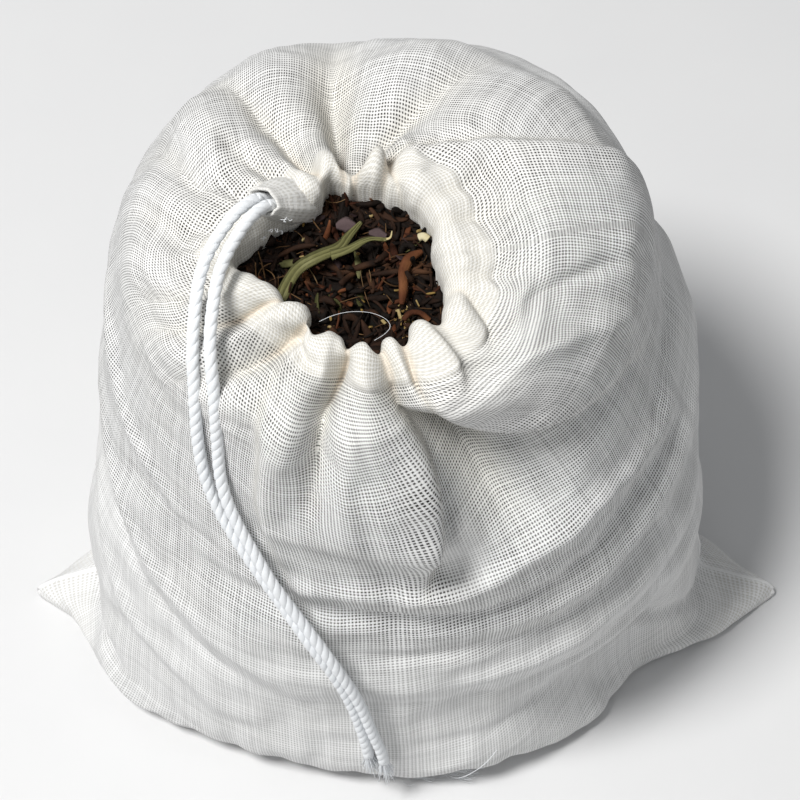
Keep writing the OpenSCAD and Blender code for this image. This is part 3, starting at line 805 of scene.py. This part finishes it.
# Lines where cloth is tucked out of sight, as (row, direction) points from the shoulder to the mouth.
TUCKS = [
    [(6, 14), (6.3, 15), (7.0, 19), (7.5, 28), (7.9, 42), (8.4, 54), (9, 66), (10, 80), (11, 83.5)],
    [(6, 56), (7, 62), (7.6, 70), (8, 76), (9, 83), (10, 85), (11, 85)],
    [(6, 99), (7, 98), (7.5, 96), (8, 94), (9, 93), (11, 92)],
    [(6, 138), (7, 128), (7.6, 120), (8, 113), (9, 109), (10, 104), (11, 99)],
    [(6, 160), (7.2, 155), (8, 151), (9, 148), (11, 146)],
    [(6.4, 196), (7.2, 195), (8, 193), (9, 190), (10, 184), (11, 178)],
    [(6.4, 202), (7.2, 204), (8, 206), (9, 210), (10, 214), (11, 217)],
    [(6.8, 218), (7.4, 221), (8, 226), (9, 234), (10, 244), (11, 250)],
    [(6, 261), (7.3, 262), (8, 265), (9, 268), (10, 272), (11, 275)],
    [(5.6, 276), (6.4, 280), (7.3, 282), (8, 284.5), (9, 287), (11, 286)],
    [(6, 348), (6.3, 337), (6.6, 322), (6.8, 311), (7, 303), (7.4, 299), (8, 298), (10, 300), (11, 303)],
]


def broad_only(field, waves):
    """The part of a field that changes slowly round the sack."""
    parts = np.fft.rfft(field, axis=1)
    parts[:, waves:] = 0
    return blur(np.fft.irfft(parts, field.shape[1], axis=1), 4)


def thread_coordinates(grid):
    """Thread numbers round and up: lengths along each puff of cloth, with jumps inside the tucks."""
    step = np.linalg.norm(np.roll(grid, -1, 1) - grid, axis=-1)
    step = broad_only(step, 14)
    run = np.concatenate([np.zeros((len(grid), 1)), np.cumsum(step, 1)], 1)
    flat = np.arange(COLS + 1) * CLOTH_ROUND / COLS
    lines = np.stack([open_curve([p[0] for p in t], [p[1] for p in t], V, 0.15) for t in TUCKS], 1)
    lines = np.concatenate([lines, lines[:, :1] + 360], 1)
    across = np.empty((len(grid), COLS + 1))
    for j in range(len(grid)):
        total = run[j, -1]
        edges = lines[j] / 360 * COLS
        col = np.arange(COLS + 1).astype(float)
        col = np.where(col < edges[0], col + COLS, col)
        puff = np.clip(np.searchsorted(edges, col, "right") - 1, 0, len(edges) - 2)
        middle = 0.5 * (edges[puff] + edges[puff + 1])

        def length(c):
            return np.interp(c % COLS, np.arange(COLS + 1), run[j]) + total * np.floor(c / COLS)

        across[j] = middle * CLOTH_ROUND / COLS + length(col) - length(middle)
        across[j] -= np.where(col > COLS, CLOTH_ROUND, 0)
    share = rising(V, 6.5, 1.3)[:, None]
    across = flat[None, :] * (1 - share) + across * share
    rise = np.linalg.norm(np.diff(grid, axis=0), axis=-1)
    rise = np.concatenate([np.zeros((1, grid.shape[1])), np.cumsum(rise, 0)], 0)
    rise -= rise[-1:]
    rise = broad_only(rise, 6)
    rise = np.concatenate([rise, rise[:, :1]], 1)
    return np.stack([across / THREAD_PITCH, rise / WEFT_PITCH], -1)


threads = thread_coordinates(cloth)
# Number attributes for the weave: cream threads near the mouth and painted warm shade in the folds, two
# layers of cloth in the hem and the corners, and how much of the dark herbs shows through.
cream = rising(V, 6.0, 3.6)[:, None] ** 1.5 * np.ones((1, COLS))
# Deep folds and creases add painted warm shade on top of the cream tint near the mouth.
cream = np.clip(0.75 * cream + 0.7 * np.clip(fold_shade_mask / 3.5, 0, 1), 0, 1.3)
double = rising(V, STITCH_V, 0.06)[:, None] * np.ones((1, COLS))
ear_zone = rising(np.abs(cloth[..., 0] + 1), 51, 3) * falling(V, 2.2, 0.6)[:, None]
double = np.maximum(double, ear_zone)
# The row above which herbs show through the holes, by direction.
SHEER_FROM = [
    (0, 5.7), (40, 6.6), (90, 7.0), (140, 6.2), (180, 4.8), (220, 4.2), (270, 4.1), (320, 4.3), (345, 5.1),
]
sheer = np.clip(V[:, None] - round_curve(SHEER_FROM, U, 12)[None, :] + 0.5, 0, 1)
sheer = 0.22 + 0.78 * sheer * sheer * (3 - 2 * sheer)
raised = (turn_gap(U, 283)[None, :] / 4.5) ** 2 + ((V[:, None] - 5.75) / 0.42) ** 2
sheer *= 1 - 0.75 * np.exp(-(raised**2))


TUCK_COLS, TUCK_SLOPE = 4, 0.12


def cloth_piece(name, rows, cols, material, tuck=0):
    """The part of the cloth between two rows and two columns; columns may run past the last one.
    A tuck is that many more columns, which slope away under the next piece."""
    j = np.arange(rows[0], rows[1] + 1)
    i = np.arange(cols[0], cols[1] + 1 + tuck)
    pick = np.ix_(j, i % COLS)
    uv = threads[pick].copy()
    uv[..., 0] += CLOTH_ROUND / THREAD_PITCH * np.floor_divide(i, COLS)[None, :]
    under = TUCK_SLOPE * np.maximum(0, i - cols[1])[None, :, None]
    points = cloth[pick] - cloth_normals[pick] * under
    return make_mesh(
        name, points.reshape(-1, 3), grid_faces(len(j), len(i)), material,
        uv.reshape(-1, 2), cloth_normals[pick].reshape(-1, 3),
        cream=cream[pick].ravel(), double=double[pick].ravel(), sheer=sheer[pick].ravel(),
    )


# The rows where the hem's pieces start and where their borders are measured.
CUT_V, BORDER_V = 6.7, 7.3
cloth_normals = directions(cloth, V)[2]
neck_row = int(np.searchsorted(V, CUT_V))
half = COLS // 2
cloth_back = cloth_piece("cloth_back", (0, neck_row), (0, half), MUSLIN)
cloth_front = cloth_piece("cloth_front", (0, neck_row), (half, COLS), MUSLIN)
for piece, node in ((cloth_front, "front_panel"), (cloth_back, "back_panel")):
    place(piece, "bag", "muslin", node)

FIRST_BORDER = SLOT_ANGLE + SLOT_SPAN / 2
borders = [FIRST_BORDER + k * GATHER_PITCH for k in range(1, GATHERS)]
border_cols = [int(round(b * COLS / 360)) for b in (SLOT_ANGLE, *borders, SLOT_ANGLE + 360)]
# The borders between gathers, seen from the mouth's middle, and for each gather a direction in and up at 45
# degrees.
# Each gather's direction mirrors the last one's across their border.
border_points = frame_to_mouth(cloth[int(np.searchsorted(V, BORDER_V)), np.array(border_cols) % COLS])
border_turn = np.unwrap(np.arctan2(border_points[:, 1], border_points[:, 0]))
for k in range(GATHERS):
    body = f"gather_{k + 1}"
    span = border_cols[k : k + 2]
    piece = cloth_piece(f"hem_puff_{k + 1}", (neck_row, len(V) - 1), span, MUSLIN, TUCK_COLS)
    turn = border_turn[:2].mean() if k == 0 else 2 * border_turn[k] - turn
    way = np.array([-math.cos(turn), -math.sin(turn), 1.0]) / math.sqrt(2)
    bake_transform(piece)
    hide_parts(body)

# ---------------------------------------------------------------- herbs


class Heap:
    """Collects many small pieces of one kind into one mesh."""

    def __init__(self):
        self.points, self.faces, self.tones, self.count = [], [], [], 0

    def ribbon(self, path, widths, thicks, facing, tone, sides=6):
        """A flat or round strip along a path. facing is the direction of its thin side."""
        path = np.asarray(path, float)
        n = len(path)
        along = np.gradient(path, axis=0)
        along /= np.linalg.norm(along, axis=1, keepdims=True) + 1e-9
        facing = np.broadcast_to(facing, (n, 3))
        side = np.cross(along, facing)
        side /= np.linalg.norm(side, axis=1, keepdims=True) + 1e-9
        thin = np.cross(side, along)
        a = np.arange(sides) * 2 * math.pi / sides
        w = np.broadcast_to(widths, n)[:, None, None] / 2
        t = np.broadcast_to(thicks, n)[:, None, None] / 2
        rings = path[:, None, :] + side[:, None, :] * w * np.cos(a)[None, :, None]
        rings = rings + thin[:, None, :] * t * np.sin(a)[None, :, None]
        start = self.count
        self.points.append(rings.reshape(-1, 3))
        self.faces += [[start + q for q in f] for f in grid_faces(n, sides, True)]
        self.faces.append([start + q for q in range(sides)][::-1])
        self.faces.append([start + (n - 1) * sides + q for q in range(sides)])
        self.tones.append(np.full(n * sides, tone))
        self.count += n * sides

    def build(self, name, material):
        tones = np.concatenate(self.tones)
        return make_mesh(name, np.concatenate(self.points), self.faces, material, tone=tones)


def curved_path(heading, length, bend, points=9):
    """A random smooth path from the origin that turns by bend degrees along its length."""
    path, direction = [np.zeros(3)], np.array(heading, float)
    axis = rng.normal(size=3)
    axis /= np.linalg.norm(axis)
    turn = Matrix.Rotation(bend * DEG / points, 3, Vector(axis))
    for _ in range(points - 1):
        direction = np.array(turn @ Vector(direction))
        path.append(path[-1] + direction * length / (points - 1))
    return np.array(path)


def opening_radius(a):
    return float(round_curve(OPENING, np.array([a / DEG]))[0])


# The hem's cord closes in under the herbs near the edge, so they lie above CORD_TOP there.
CORD_ROOM, CORD_TOP = 2.4, -3.95


def scatter(heap, count, length, width, thick, bend, spread, depth, tilt, tone=(0, 1)):
    """Adds random curved shreds lying in the mouth of the bag. Lengths, widths, thicknesses, heights
    over the herbs' surface and tones are (least, most); bend and tilt are spreads; spread is how far
    past the opening's edge they lie."""
    for _ in range(count):
        a = rng.uniform(0, 2 * math.pi)
        reach = opening_radius(a) + spread
        r = reach * math.sqrt(rng.uniform(0, 1))
        turn, rise = rng.uniform(0, 2 * math.pi), rng.normal(0, tilt)
        flat = math.cos(rise)
        heading = np.array([math.cos(turn) * flat, math.sin(turn) * flat, math.sin(rise)])
        size = rng.uniform(*length)
        bowl = 2.2 * (r / reach) ** 2
        centre = np.array([r * math.cos(a) - 0.2, r * math.sin(a), HERB_FLOOR + rng.uniform(*depth) + bowl])
        path = curved_path(heading, size, rng.normal(0, bend))
        path += centre - path.mean(0)
        outer = np.hypot(path[:, 0], path[:, 1])
        limit = np.array([opening_radius(q) for q in np.arctan2(path[:, 1], path[:, 0])]) + spread + 0.6
        path[:, :2] *= np.minimum(1, limit / np.maximum(outer, 1e-6))[:, None]
        cord_edge = limit - spread - 0.6 - CORD_ROOM
        inward = np.maximum(cord_edge - np.hypot(path[:, 0], path[:, 1]), 0)
        path[:, 2] = np.maximum(path[:, 2], CORD_TOP - 1.6 * inward)
        taper = 1 - 0.75 * np.abs(np.linspace(-1, 1, len(path))) ** rng.uniform(2, 6)
        facing = np.array([rng.normal(0, 0.5), rng.normal(0, 0.5), 1.0])
        wide, high, shade = rng.uniform(*width), rng.uniform(*thick), rng.uniform(*tone)
        heap.ribbon(mouth_to_frame(path), wide * taper, high, facing, shade)


shreds = Heap()
scatter(shreds, 700, (2, 7), (0.3, 1.1), (0.2, 0.5), 90, 1.6, (-0.6, 1.6), 0.35, (0, 0.75))
scatter(shreds, 160, (2, 5), (0.8, 2.0), (0.3, 0.8), 50, 1.6, (-0.2, 1.8), 0.3, (0, 0.6))
scatter(shreds, 26, (5, 9), (0.8, 1.4), (0.7, 1.1), 220, 0.6, (0.6, 2.0), 0.3, (0, 0.7))
root = shreds.build("root_shreds_heap", SHRED)
bark = Heap()
scatter(bark, 60, (2, 6), (0.4, 1.1), (0.3, 0.5), 90, 0.6, (0.4, 2.0), 0.35, (0.1, 1))
stems = Heap()
scatter(stems, 46, (2, 6), (0.1, 0.26), (0.1, 0.22), 90, 0.6, (1.0, 2.5), 0.3, (0, 0.7))
chips = Heap()
scatter(chips, 8, (1.5, 3), (1.0, 1.8), (0.15, 0.3), 30, 0, (1.0, 2.1), 0.5, (0, 0.5))
petals = Heap()
scatter(petals, 16, (0.6, 1.5), (0.3, 0.7), (0.3, 0.5), 60, 0, (1.2, 2.4), 0.5, (0, 0.6))
for _ in range(26):
    spot = np.array([rng.normal(8.6, 1.2), rng.normal(-6.4, 1.4), HERB_FLOOR + rng.uniform(2.2, 3.4)])
    way = np.array([rng.normal(), rng.normal(), 0.3])
    path = spot + np.linspace(-0.5, 0.5, 5)[:, None] * way * rng.uniform(0.4, 0.9)
    petals.ribbon(mouth_to_frame(path), rng.uniform(0.25, 0.6), 0.25, np.array([0, 0, 1.0]),
                  rng.uniform(0, 0.55))
leaves = Heap()
scatter(leaves, 10, (3, 7), (0.8, 1.4), (0.15, 0.25), 80, 0, (0.8, 2.2), 0.4, (0, 0.5))


def laid(points, lift):
    """A rounded path through points (x, y, extra height) in the mouth's directions."""
    p = np.array(points, float)
    t = np.arange(len(p), dtype=float)
    fine = np.linspace(0, len(p) - 1, 8 * len(p))
    curve = np.stack([open_curve(t, p[:, k], fine, 0.35) for k in range(3)], -1)
    curve[:, 2] += HERB_FLOOR + lift
    return mouth_to_frame(curve)


up_axis = mouth_to_frame(np.array([0, 0, 1.0])) - mouth_to_frame(np.zeros(3))
blade = laid([(-9.2, -4.6, 0.3), (-8.4, -2.2, 0.8), (-6.6, 0.8, 1.2), (-3.6, 2.6, 1.4),
              (-0.6, 3.8, 1.4), (0.4, 5.8, 1.0), (2.6, 8.8, 0.6)], 3.2)
branch = laid([(-2.2, 2.6, 1.4), (0.6, 3.2, 1.9), (3.4, 5.0, 2.2), (6.4, 4.6, 2.4)], 3.2)


def swell(path, places, sizes):
    """A size for each point of a path, from sizes at some places from 0 to 1 along it."""
    return np.interp(np.linspace(0, 1, len(path)), places, sizes)


def veined_blade(path, widths, tilt):
    """A dried leaf blade: narrow ridges side by side, each of its own tone."""
    along = np.gradient(path, axis=0)
    side = np.cross(along, up_axis + tilt)
    side /= np.linalg.norm(side, axis=1, keepdims=True)
    ridges = 5
    for k in range(ridges):
        off = (k - (ridges - 1) / 2) / ridges * 0.8
        wave = 0.06 * np.sin(np.linspace(0, 9 + k, len(path)) + 2 * k)
        lift = up_axis * (0.10 * math.cos(3 * off) + 0.03 * (k % 2))
        curve = path + side * (off * widths + wave)[:, None] + lift
        leaves.ribbon(curve, 1.9 * widths / ridges, 0.3, up_axis + tilt, (0.35, 0.75, 0.45, 0.9, 0.55)[k])


blade_widths = swell(blade, [0, 0.1, 0.5, 0.8, 1], [1.0, 2.0, 1.7, 1.5, 0.5])
veined_blade(blade, blade_widths, np.array([0.35, -0.3, 0]))
veined_blade(branch, np.linspace(1.6, 0.4, len(branch)), np.array([-0.2, -0.4, 0]))
tip = laid([(5.6, 4.7, 2.4), (6.7, 4.7, 2.7), (6.9, 5.9, 3.0)], 3.2)
petals.ribbon(tip, np.linspace(0.5, 0.15, len(tip)), 0.2, up_axis, 0.9)
curl = laid([(11.4, 4.0, 0.6), (9.4, 2.6, 1.4), (8.4, 0.0, 1.8), (8.6, -2.6, 1.6), (8.2, -5.2, 1.0)], 2.8)
bark.ribbon(curl, swell(curl, [0, 0.3, 0.8, 1], [0.8, 1.7, 1.5, 0.7]), 0.7, up_axis + [0.5, 0, 0], 0.6)
curl = laid([(12.4, -7.4, 0.6), (11.0, -6.2, 1.2), (9.4, -6.4, 1.6), (8.4, -7.6, 1.2)], 2.8)
bark.ribbon(curl, [0.9] * len(curl), 0.5, up_axis, 0.4)
for points, sizes, shade in (
    ([(-1.4, 7.8, 1.0), (0.2, 8.0, 1.3), (1.8, 7.6, 1.2)], [0.8, 2.6, 0.9], 0.9),
    ([(3.4, 6.8, 1.0), (4.8, 6.6, 1.3), (6.2, 6.0, 1.2)], [0.6, 1.8, 0.7], 0.8),
):
    flake = laid(points, 2.8)
    chips.ribbon(flake, swell(flake, [0, 0.5, 1], sizes), 0.25, up_axis + [0.2, -0.3, 0], shade)
bit = laid([(10.6, 5.6, 1.6), (11.4, 5.8, 2.0), (12.2, 5.2, 1.8)], 2.8)
petals.ribbon(bit, [0.6, *[1.3] * (len(bit) - 2), 0.6], 0.6, up_axis, 1.0)
place(root, "bag", "herb", "root_shreds")
for heap, name, material, node, slot_name in (
    (bark, "bark_heap", BARK, "bark_strips", "bark"),
    (stems, "stem_heap", STEM, "stem_pieces", "stem"),
    (chips, "peel_heap", PEEL, "peel_chips", "bark"),
    (petals, "flower_heap", FLOWER, "flower_bits", "flower"),
    (leaves, "leaf_heap", LEAF, "leaf_blade", "leaf"),
):
    place(heap.build(name, material), "bag", slot_name, node)

# ---------------------------------------------------------------- seams

for node, col in (("left_side_seam", half), ("right_side_seam", 0)):
    j = np.arange(BASE_ROWS, neck_row + 8, 2)
    # The fold shows low down, and lies inside the cloth higher up.
    sunk = np.interp(V[j], [2.5, 4.5], [0.25, 0.6])[:, None]
    spine = cloth[j, col] - cloth_normals[j, col] * sunk
    heap = Heap()
    heap.ribbon(spine, 1.1, 0.8, np.array([0, 1.0, 0]), 0.5)
    place(heap.build(node.replace("seam", "fold"), HEM), "bag", "seam", node)
heap = Heap()
spine = [[x, SECTIONS[0][1], 0.5] for x in np.linspace(-0.8 * HALF_W, 0.8 * HALF_W, 40)]
heap.ribbon(spine, 1.4, 0.8, np.array([0, 0, 1.0]), 0.5)
place(heap.build("bottom_fold", HEM), "bag", "seam", "bottom_seam")

# ---------------------------------------------------------------- cords

LEFT_ROUTE = [
    (-21.2, -5.8, 104.2), (-22.8, -7.8, 105.3), (-24.6, -10.0, 105.3), (-26.2, -12.6, 104.8),
    (-27.8, -15.6, 104.2), (-29, -19, 103), (-29.6, -23, 100.8), (-30, -27, 97),
    (-30, -29.5, 92), (-30, -31, 87), (-30, -32, 82), (-29.5, -33.5, 76),
    (-28, -35, 70), (-25, -37.5, 64), (-21.5, -40, 58), (-18, -42, 52),
    (-14.5, -44.5, 46), (-11.5, -45.0, 39.5), (-9, -45.0, 31.5), (-7.5, -44.8, 23.5),
    (-6.5, -44.8, 17), (-6, -44.6, 12),
]
RIGHT_ROUTE = [
    (-19.6, -7.0, 104.2), (-21.2, -9.2, 105.4), (-22.8, -11.6, 105.4), (-24.2, -14.2, 104.9),
    (-25.5, -16.8, 104.2), (-26.5, -19.8, 103.2),
    (-27, -24, 102), (-27.5, -28.5, 99), (-27, -31.5, 94), (-27, -33, 88),
    (-27, -33.5, 82), (-27, -35, 76), (-25.5, -37, 70), (-22.5, -39.5, 64),
    (-19.5, -42, 58), (-16, -43.5, 52), (-12.5, -45.5, 46), (-9.5, -46.4, 39.5),
    (-7, -46.4, 31.5), (-5.5, -46.4, 23.5), (-4, -46.2, 17), (-3.5, -46.0, 12.5),
]


def resample(route, step):
    p = np.array(route, float)
    t = np.arange(len(p), dtype=float)
    fine = np.linspace(0, len(p) - 1, 60 * len(p))
    curve = np.stack([open_curve(t, p[:, k], fine, 0.5) for k in range(3)], -1)
    far = np.concatenate([[0], np.cumsum(np.linalg.norm(np.diff(curve, axis=0), axis=1))])
    s = np.linspace(0, far[-1], int(far[-1] / step) + 2)
    return np.stack([np.interp(s, far, curve[:, k]) for k in range(3)], -1), far[-1]


def carried_frame(path):
    """Side and other direction along a path, carried without twist."""
    along = np.gradient(path, axis=0)
    along /= np.linalg.norm(along, axis=1, keepdims=True)
    side = np.cross(along[0], [1, 0.3, 0])
    sides = []
    for a in along:
        side = side - a * side.dot(a)
        side = side / np.linalg.norm(side)
        sides.append(side)
    sides = np.array(sides)
    return sides, np.cross(along, sides)


STRANDS, LAY_LENGTH = 3, 5.4
STRAND_W, STRAND_T, STRAND_OFF = 1.30, 1.16, 0.36


def twisted_cord(name, path):
    """Strands laid round each other along a path."""
    sides, others = carried_frame(path)
    step = np.linalg.norm(path[1] - path[0])
    heap = Heap()
    phase = 2 * math.pi * np.arange(len(path)) * step / LAY_LENGTH
    for k in range(STRANDS):
        a = phase + k * 2 * math.pi / STRANDS
        off = sides * np.cos(a)[:, None] + others * np.sin(a)[:, None]
        heap.ribbon(path + off * STRAND_OFF, STRAND_W, STRAND_T, off, 0.5, 12)
    return heap.build(name, CORD)


cords = {}
for side_name, route in (("left", LEFT_ROUTE), ("right", RIGHT_ROUTE)):
    path, length = resample(route, 0.4)
    tail = twisted_cord(f"tail_{side_name}", path)
    place(tail, "drawstring", "cord", f"cord_tail_{side_name}")
    tuft = Heap()
    along = path[-1] - path[-3]
    along /= np.linalg.norm(along)
    sides, others = carried_frame(path)
    for _ in range(70):
        a, spread = rng.uniform(0, 2 * math.pi), rng.uniform(0.1, 1.0)
        out_way = sides[-1] * math.cos(a) + others[-1] * math.sin(a)
        root_point = path[-1] + out_way * 0.6 * spread - along * 0.5
        reach = rng.uniform(3.5, 6.2)
        t = np.linspace(0, 1, 7)[:, None]
        bow = out_way * (0.9 * spread * t**1.5 + 0.25 * rng.normal() * t**2)
        strand = root_point + along * reach * t + bow
        tuft.ribbon(strand, np.linspace(0.26, 0.1, 7), 0.16, out_way, 0.5, 4)
    tuft = tuft.build(f"fray_{side_name}", CORD)
    place(tuft, "drawstring", "cord", f"cord_end_{side_name}")
    cords[side_name] = (tail, tuft, path, length)

# The direction in which the cord is drawn out, and the middle of the end of the tunnel it comes out of.
PULL = np.array([-0.4504, -0.6005, 0.6606])
SLOT_MIDDLE = np.array([-20.4, -6.4, 104.2])
# The rolled end of that tunnel: distance along the pull, half width and half height.
RIM_PROFILE = [
    (-10, 3.9, 3.2), (-7, 4.0, 3.3), (-4.5, 3.8, 3.0), (-2.5, 3.2, 2.5), (-1.2, 2.75, 2.05),
    (-0.4, 2.75, 2.0), (0.1, 2.7, 1.95), (0.35, 2.5, 1.75), (0.1, 2.25, 1.5), (-0.8, 2.15, 1.4),
    (-3.0, 2.15, 1.4),
]


def slot_rim():
    """The rolled end of the hem tunnel that both cords come out of."""
    wide = np.cross(PULL, [0, 0, 1.0])
    wide /= np.linalg.norm(wide)
    tall = np.cross(wide, PULL)
    n, rows = 40, len(RIM_PROFILE)
    a = np.arange(n) * 2 * math.pi / n
    rings = []
    for back, half_wide, half_tall in RIM_PROFILE:
        crinkle = 1 + 0.05 * np.sin(5 * a + back) + 0.03 * np.sin(9 * a)
        across = np.outer(np.cos(a) * half_wide * crinkle, wide)
        rings.append(SLOT_MIDDLE + PULL * back + across + np.outer(np.sin(a) * half_tall * crinkle, tall))
    up = np.cumsum([0] + [0.8] * (rows - 1))[:, None]
    uv = np.stack(np.broadcast_arrays(a[None, :] * 2.6, up), -1).reshape(-1, 2) / THREAD_PITCH
    piece = make_mesh(
        "slot_rim", np.array(rings).reshape(-1, 3), grid_faces(rows, n, True), MUSLIN, uv,
        cream=np.full(rows * n, 0.5), double=np.ones(rows * n), sheer=np.zeros(rows * n),
    )
    place(piece, "bag", "casing")


slot_rim()


def loose_threads():
    """Stray cotton fibres: one across the mouth, loops at the slot, one long fibre and a wisp at the foot."""
    heap = Heap()

    def fibre(points, thick):
        t = np.arange(len(points), dtype=float)
        fine = np.linspace(0, len(points) - 1, 10 * len(points))
        curve = np.stack([open_curve(t, np.array(points, float)[:, k], fine, 0.45) for k in range(3)], -1)
        heap.ribbon(curve, thick, thick * 0.9, np.array([0.2, 0.3, 1.0]), 0.5, 5)

    mouth_fibre = np.array([(-3.6, -10.6, 2.8), (-1.0, -9.2, 2.8), (2.2, -8.6, 2.6), (5.2, -9.0, 2.2),
                            (7.0, -10.4, 1.8), (6.0, -11.8, 1.6), (4.2, -13.2, 2.2)])
    fibre(mouth_to_frame(mouth_fibre), 0.07)
    for turn, high, size in ((141, 1.4, 1.0), (147, 2.6, 1.3), (152, 0.8, 1.1), (157, 2.0, 0.9),
                             (163, 1.0, 1.2), (149, -0.6, 0.8)):
        c, n = math.cos(turn * DEG), math.sin(turn * DEG)
        r = opening_radius(turn * DEG) - 0.2
        root_point = np.array([r * c, r * n, high])
        inward = np.array([-0.7 * size * c, -0.7 * size * n, 0.5 * size])
        steps = rng.uniform(-0.5, 0.5, (4, 3)) * size + inward
        loop = np.array([root_point, *(root_point + steps), root_point + [0.6, -0.5, 0.3]])
        fibre(mouth_to_frame(loop), 0.10)
    fibre([(7.0, -41.6, 0.5), (8.6, -43.4, 2.4), (10.8, -44.2, 5.8), (13.2, -44.2, 9.4),
           (15.0, -43.2, 12.6)], 0.13)
    for _ in range(70):
        start = np.array([rng.uniform(-1, 10), rng.uniform(-42.6, -41.2), rng.uniform(0.4, 3.6)])
        bend = rng.normal(0, 0.8, 3)
        reach = np.array([rng.uniform(1.5, 4.5), rng.normal(-0.3, 0.6), rng.normal(0, 0.7)])
        path = [start, start + 0.5 * reach + bend * 0.4, start + reach]
        fibre([(x, y, max(z, 0.12)) for x, y, z in path], 0.07)
    place(heap.build("loose_threads", CORD), "bag", "muslin")


loose_threads()

# The cord inside the hem: how far outside the opening's edge and how deep it lies.
LOOP_OUT, LOOP_Z = 4.0, -5.4
for k in range(GATHERS):
    middle = FIRST_BORDER + (k + 0.5) * GATHER_PITCH
    a = np.linspace(middle - GATHER_PITCH / 2, middle + GATHER_PITCH / 2, 14) * DEG
    r = round_curve(OPENING, a / DEG, 6) + LOOP_OUT
    arc = mouth_to_frame(np.stack([r * np.cos(a), r * np.sin(a), 0 * a + LOOP_Z], -1))
    heap = Heap()
    heap.ribbon(arc, CORD_D, CORD_D, up_axis, 0.5, 8)
    piece = heap.build(f"loop_part_{k + 1}", CORD)
    place(piece, f"gather_{k + 1}", "cord")
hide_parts("cord_loop")
# The straight stretch behind the slot, which comes out with the pull.
for side_name in ("left", "right"):
    start = cords[side_name][2][0]
    t = np.linspace(-0.4, 16, 42)[:, None]
    piece = twisted_cord(f"feed_{side_name}", start - PULL * t)
    place(piece, "drawstring", "cord")
for k, side_name in enumerate(("left", "right")):
    tail, tuft, path, length = cords[side_name]
    route = [metres(p) for p in (*path[::3], path[-1])]

# ---------------------------------------------------------------- camera, light and floor

ELEVATION, DISTANCE, LENS = 53 * DEG, 420.0, 116.7
AIM, AIM_UP = np.array([-0.97, 0, 45.0]), 2.27
forward = np.array([0, math.cos(ELEVATION), -math.sin(ELEVATION)])
upward = np.array([0, math.sin(ELEVATION), math.cos(ELEVATION)])
camera_place = AIM + upward * AIM_UP - forward * DISTANCE
camera_data = bpy.data.cameras.new("camera")
camera_data.lens = LENS
camera_data.sensor_width = 36
camera = bpy.data.objects.new("camera", camera_data)
camera.location = camera_place * MM
camera.rotation_euler = (math.pi / 2 - ELEVATION, 0, 0)
bpy.context.scene.collection.objects.link(camera)
bpy.context.scene.camera = camera


KEY_PLACE, KEY_AIM = Vector((-0.38, -0.27, 0.96)), Vector((0, 0, 0.05))
key_data = bpy.data.lights.new("key", "AREA")
key_data.shape = "DISK"
key_data.size = 0.30
key_data.energy = 11.0
key_data.color = (1.0, 0.995, 0.985)
key = bpy.data.objects.new("key", key_data)
key.location = KEY_PLACE
key.rotation_euler = (KEY_AIM - KEY_PLACE).to_track_quat("-Z", "Y").to_euler()
bpy.context.scene.collection.objects.link(key)
world = bpy.data.worlds.new("studio")
world.use_nodes = True
background = world.node_tree.nodes["Background"]
background.inputs["Color"].default_value = (0.96, 0.98, 1.0, 1)
background.inputs["Strength"].default_value = 0.29
bpy.context.scene.world = world
bpy.context.scene.view_settings.view_transform = "Standard"

paper = Shader("floor_paper", 0.9)
paper_tone = paper.noise(paper.where(), 40)
floor_material = paper.finish(paper.mix(paper_tone, (0.72, 0.72, 0.725, 1), (0.75, 0.75, 0.75, 1)))
floor = make_mesh("floor", square(2500, -0.05), [[0, 1, 2, 3]], floor_material)
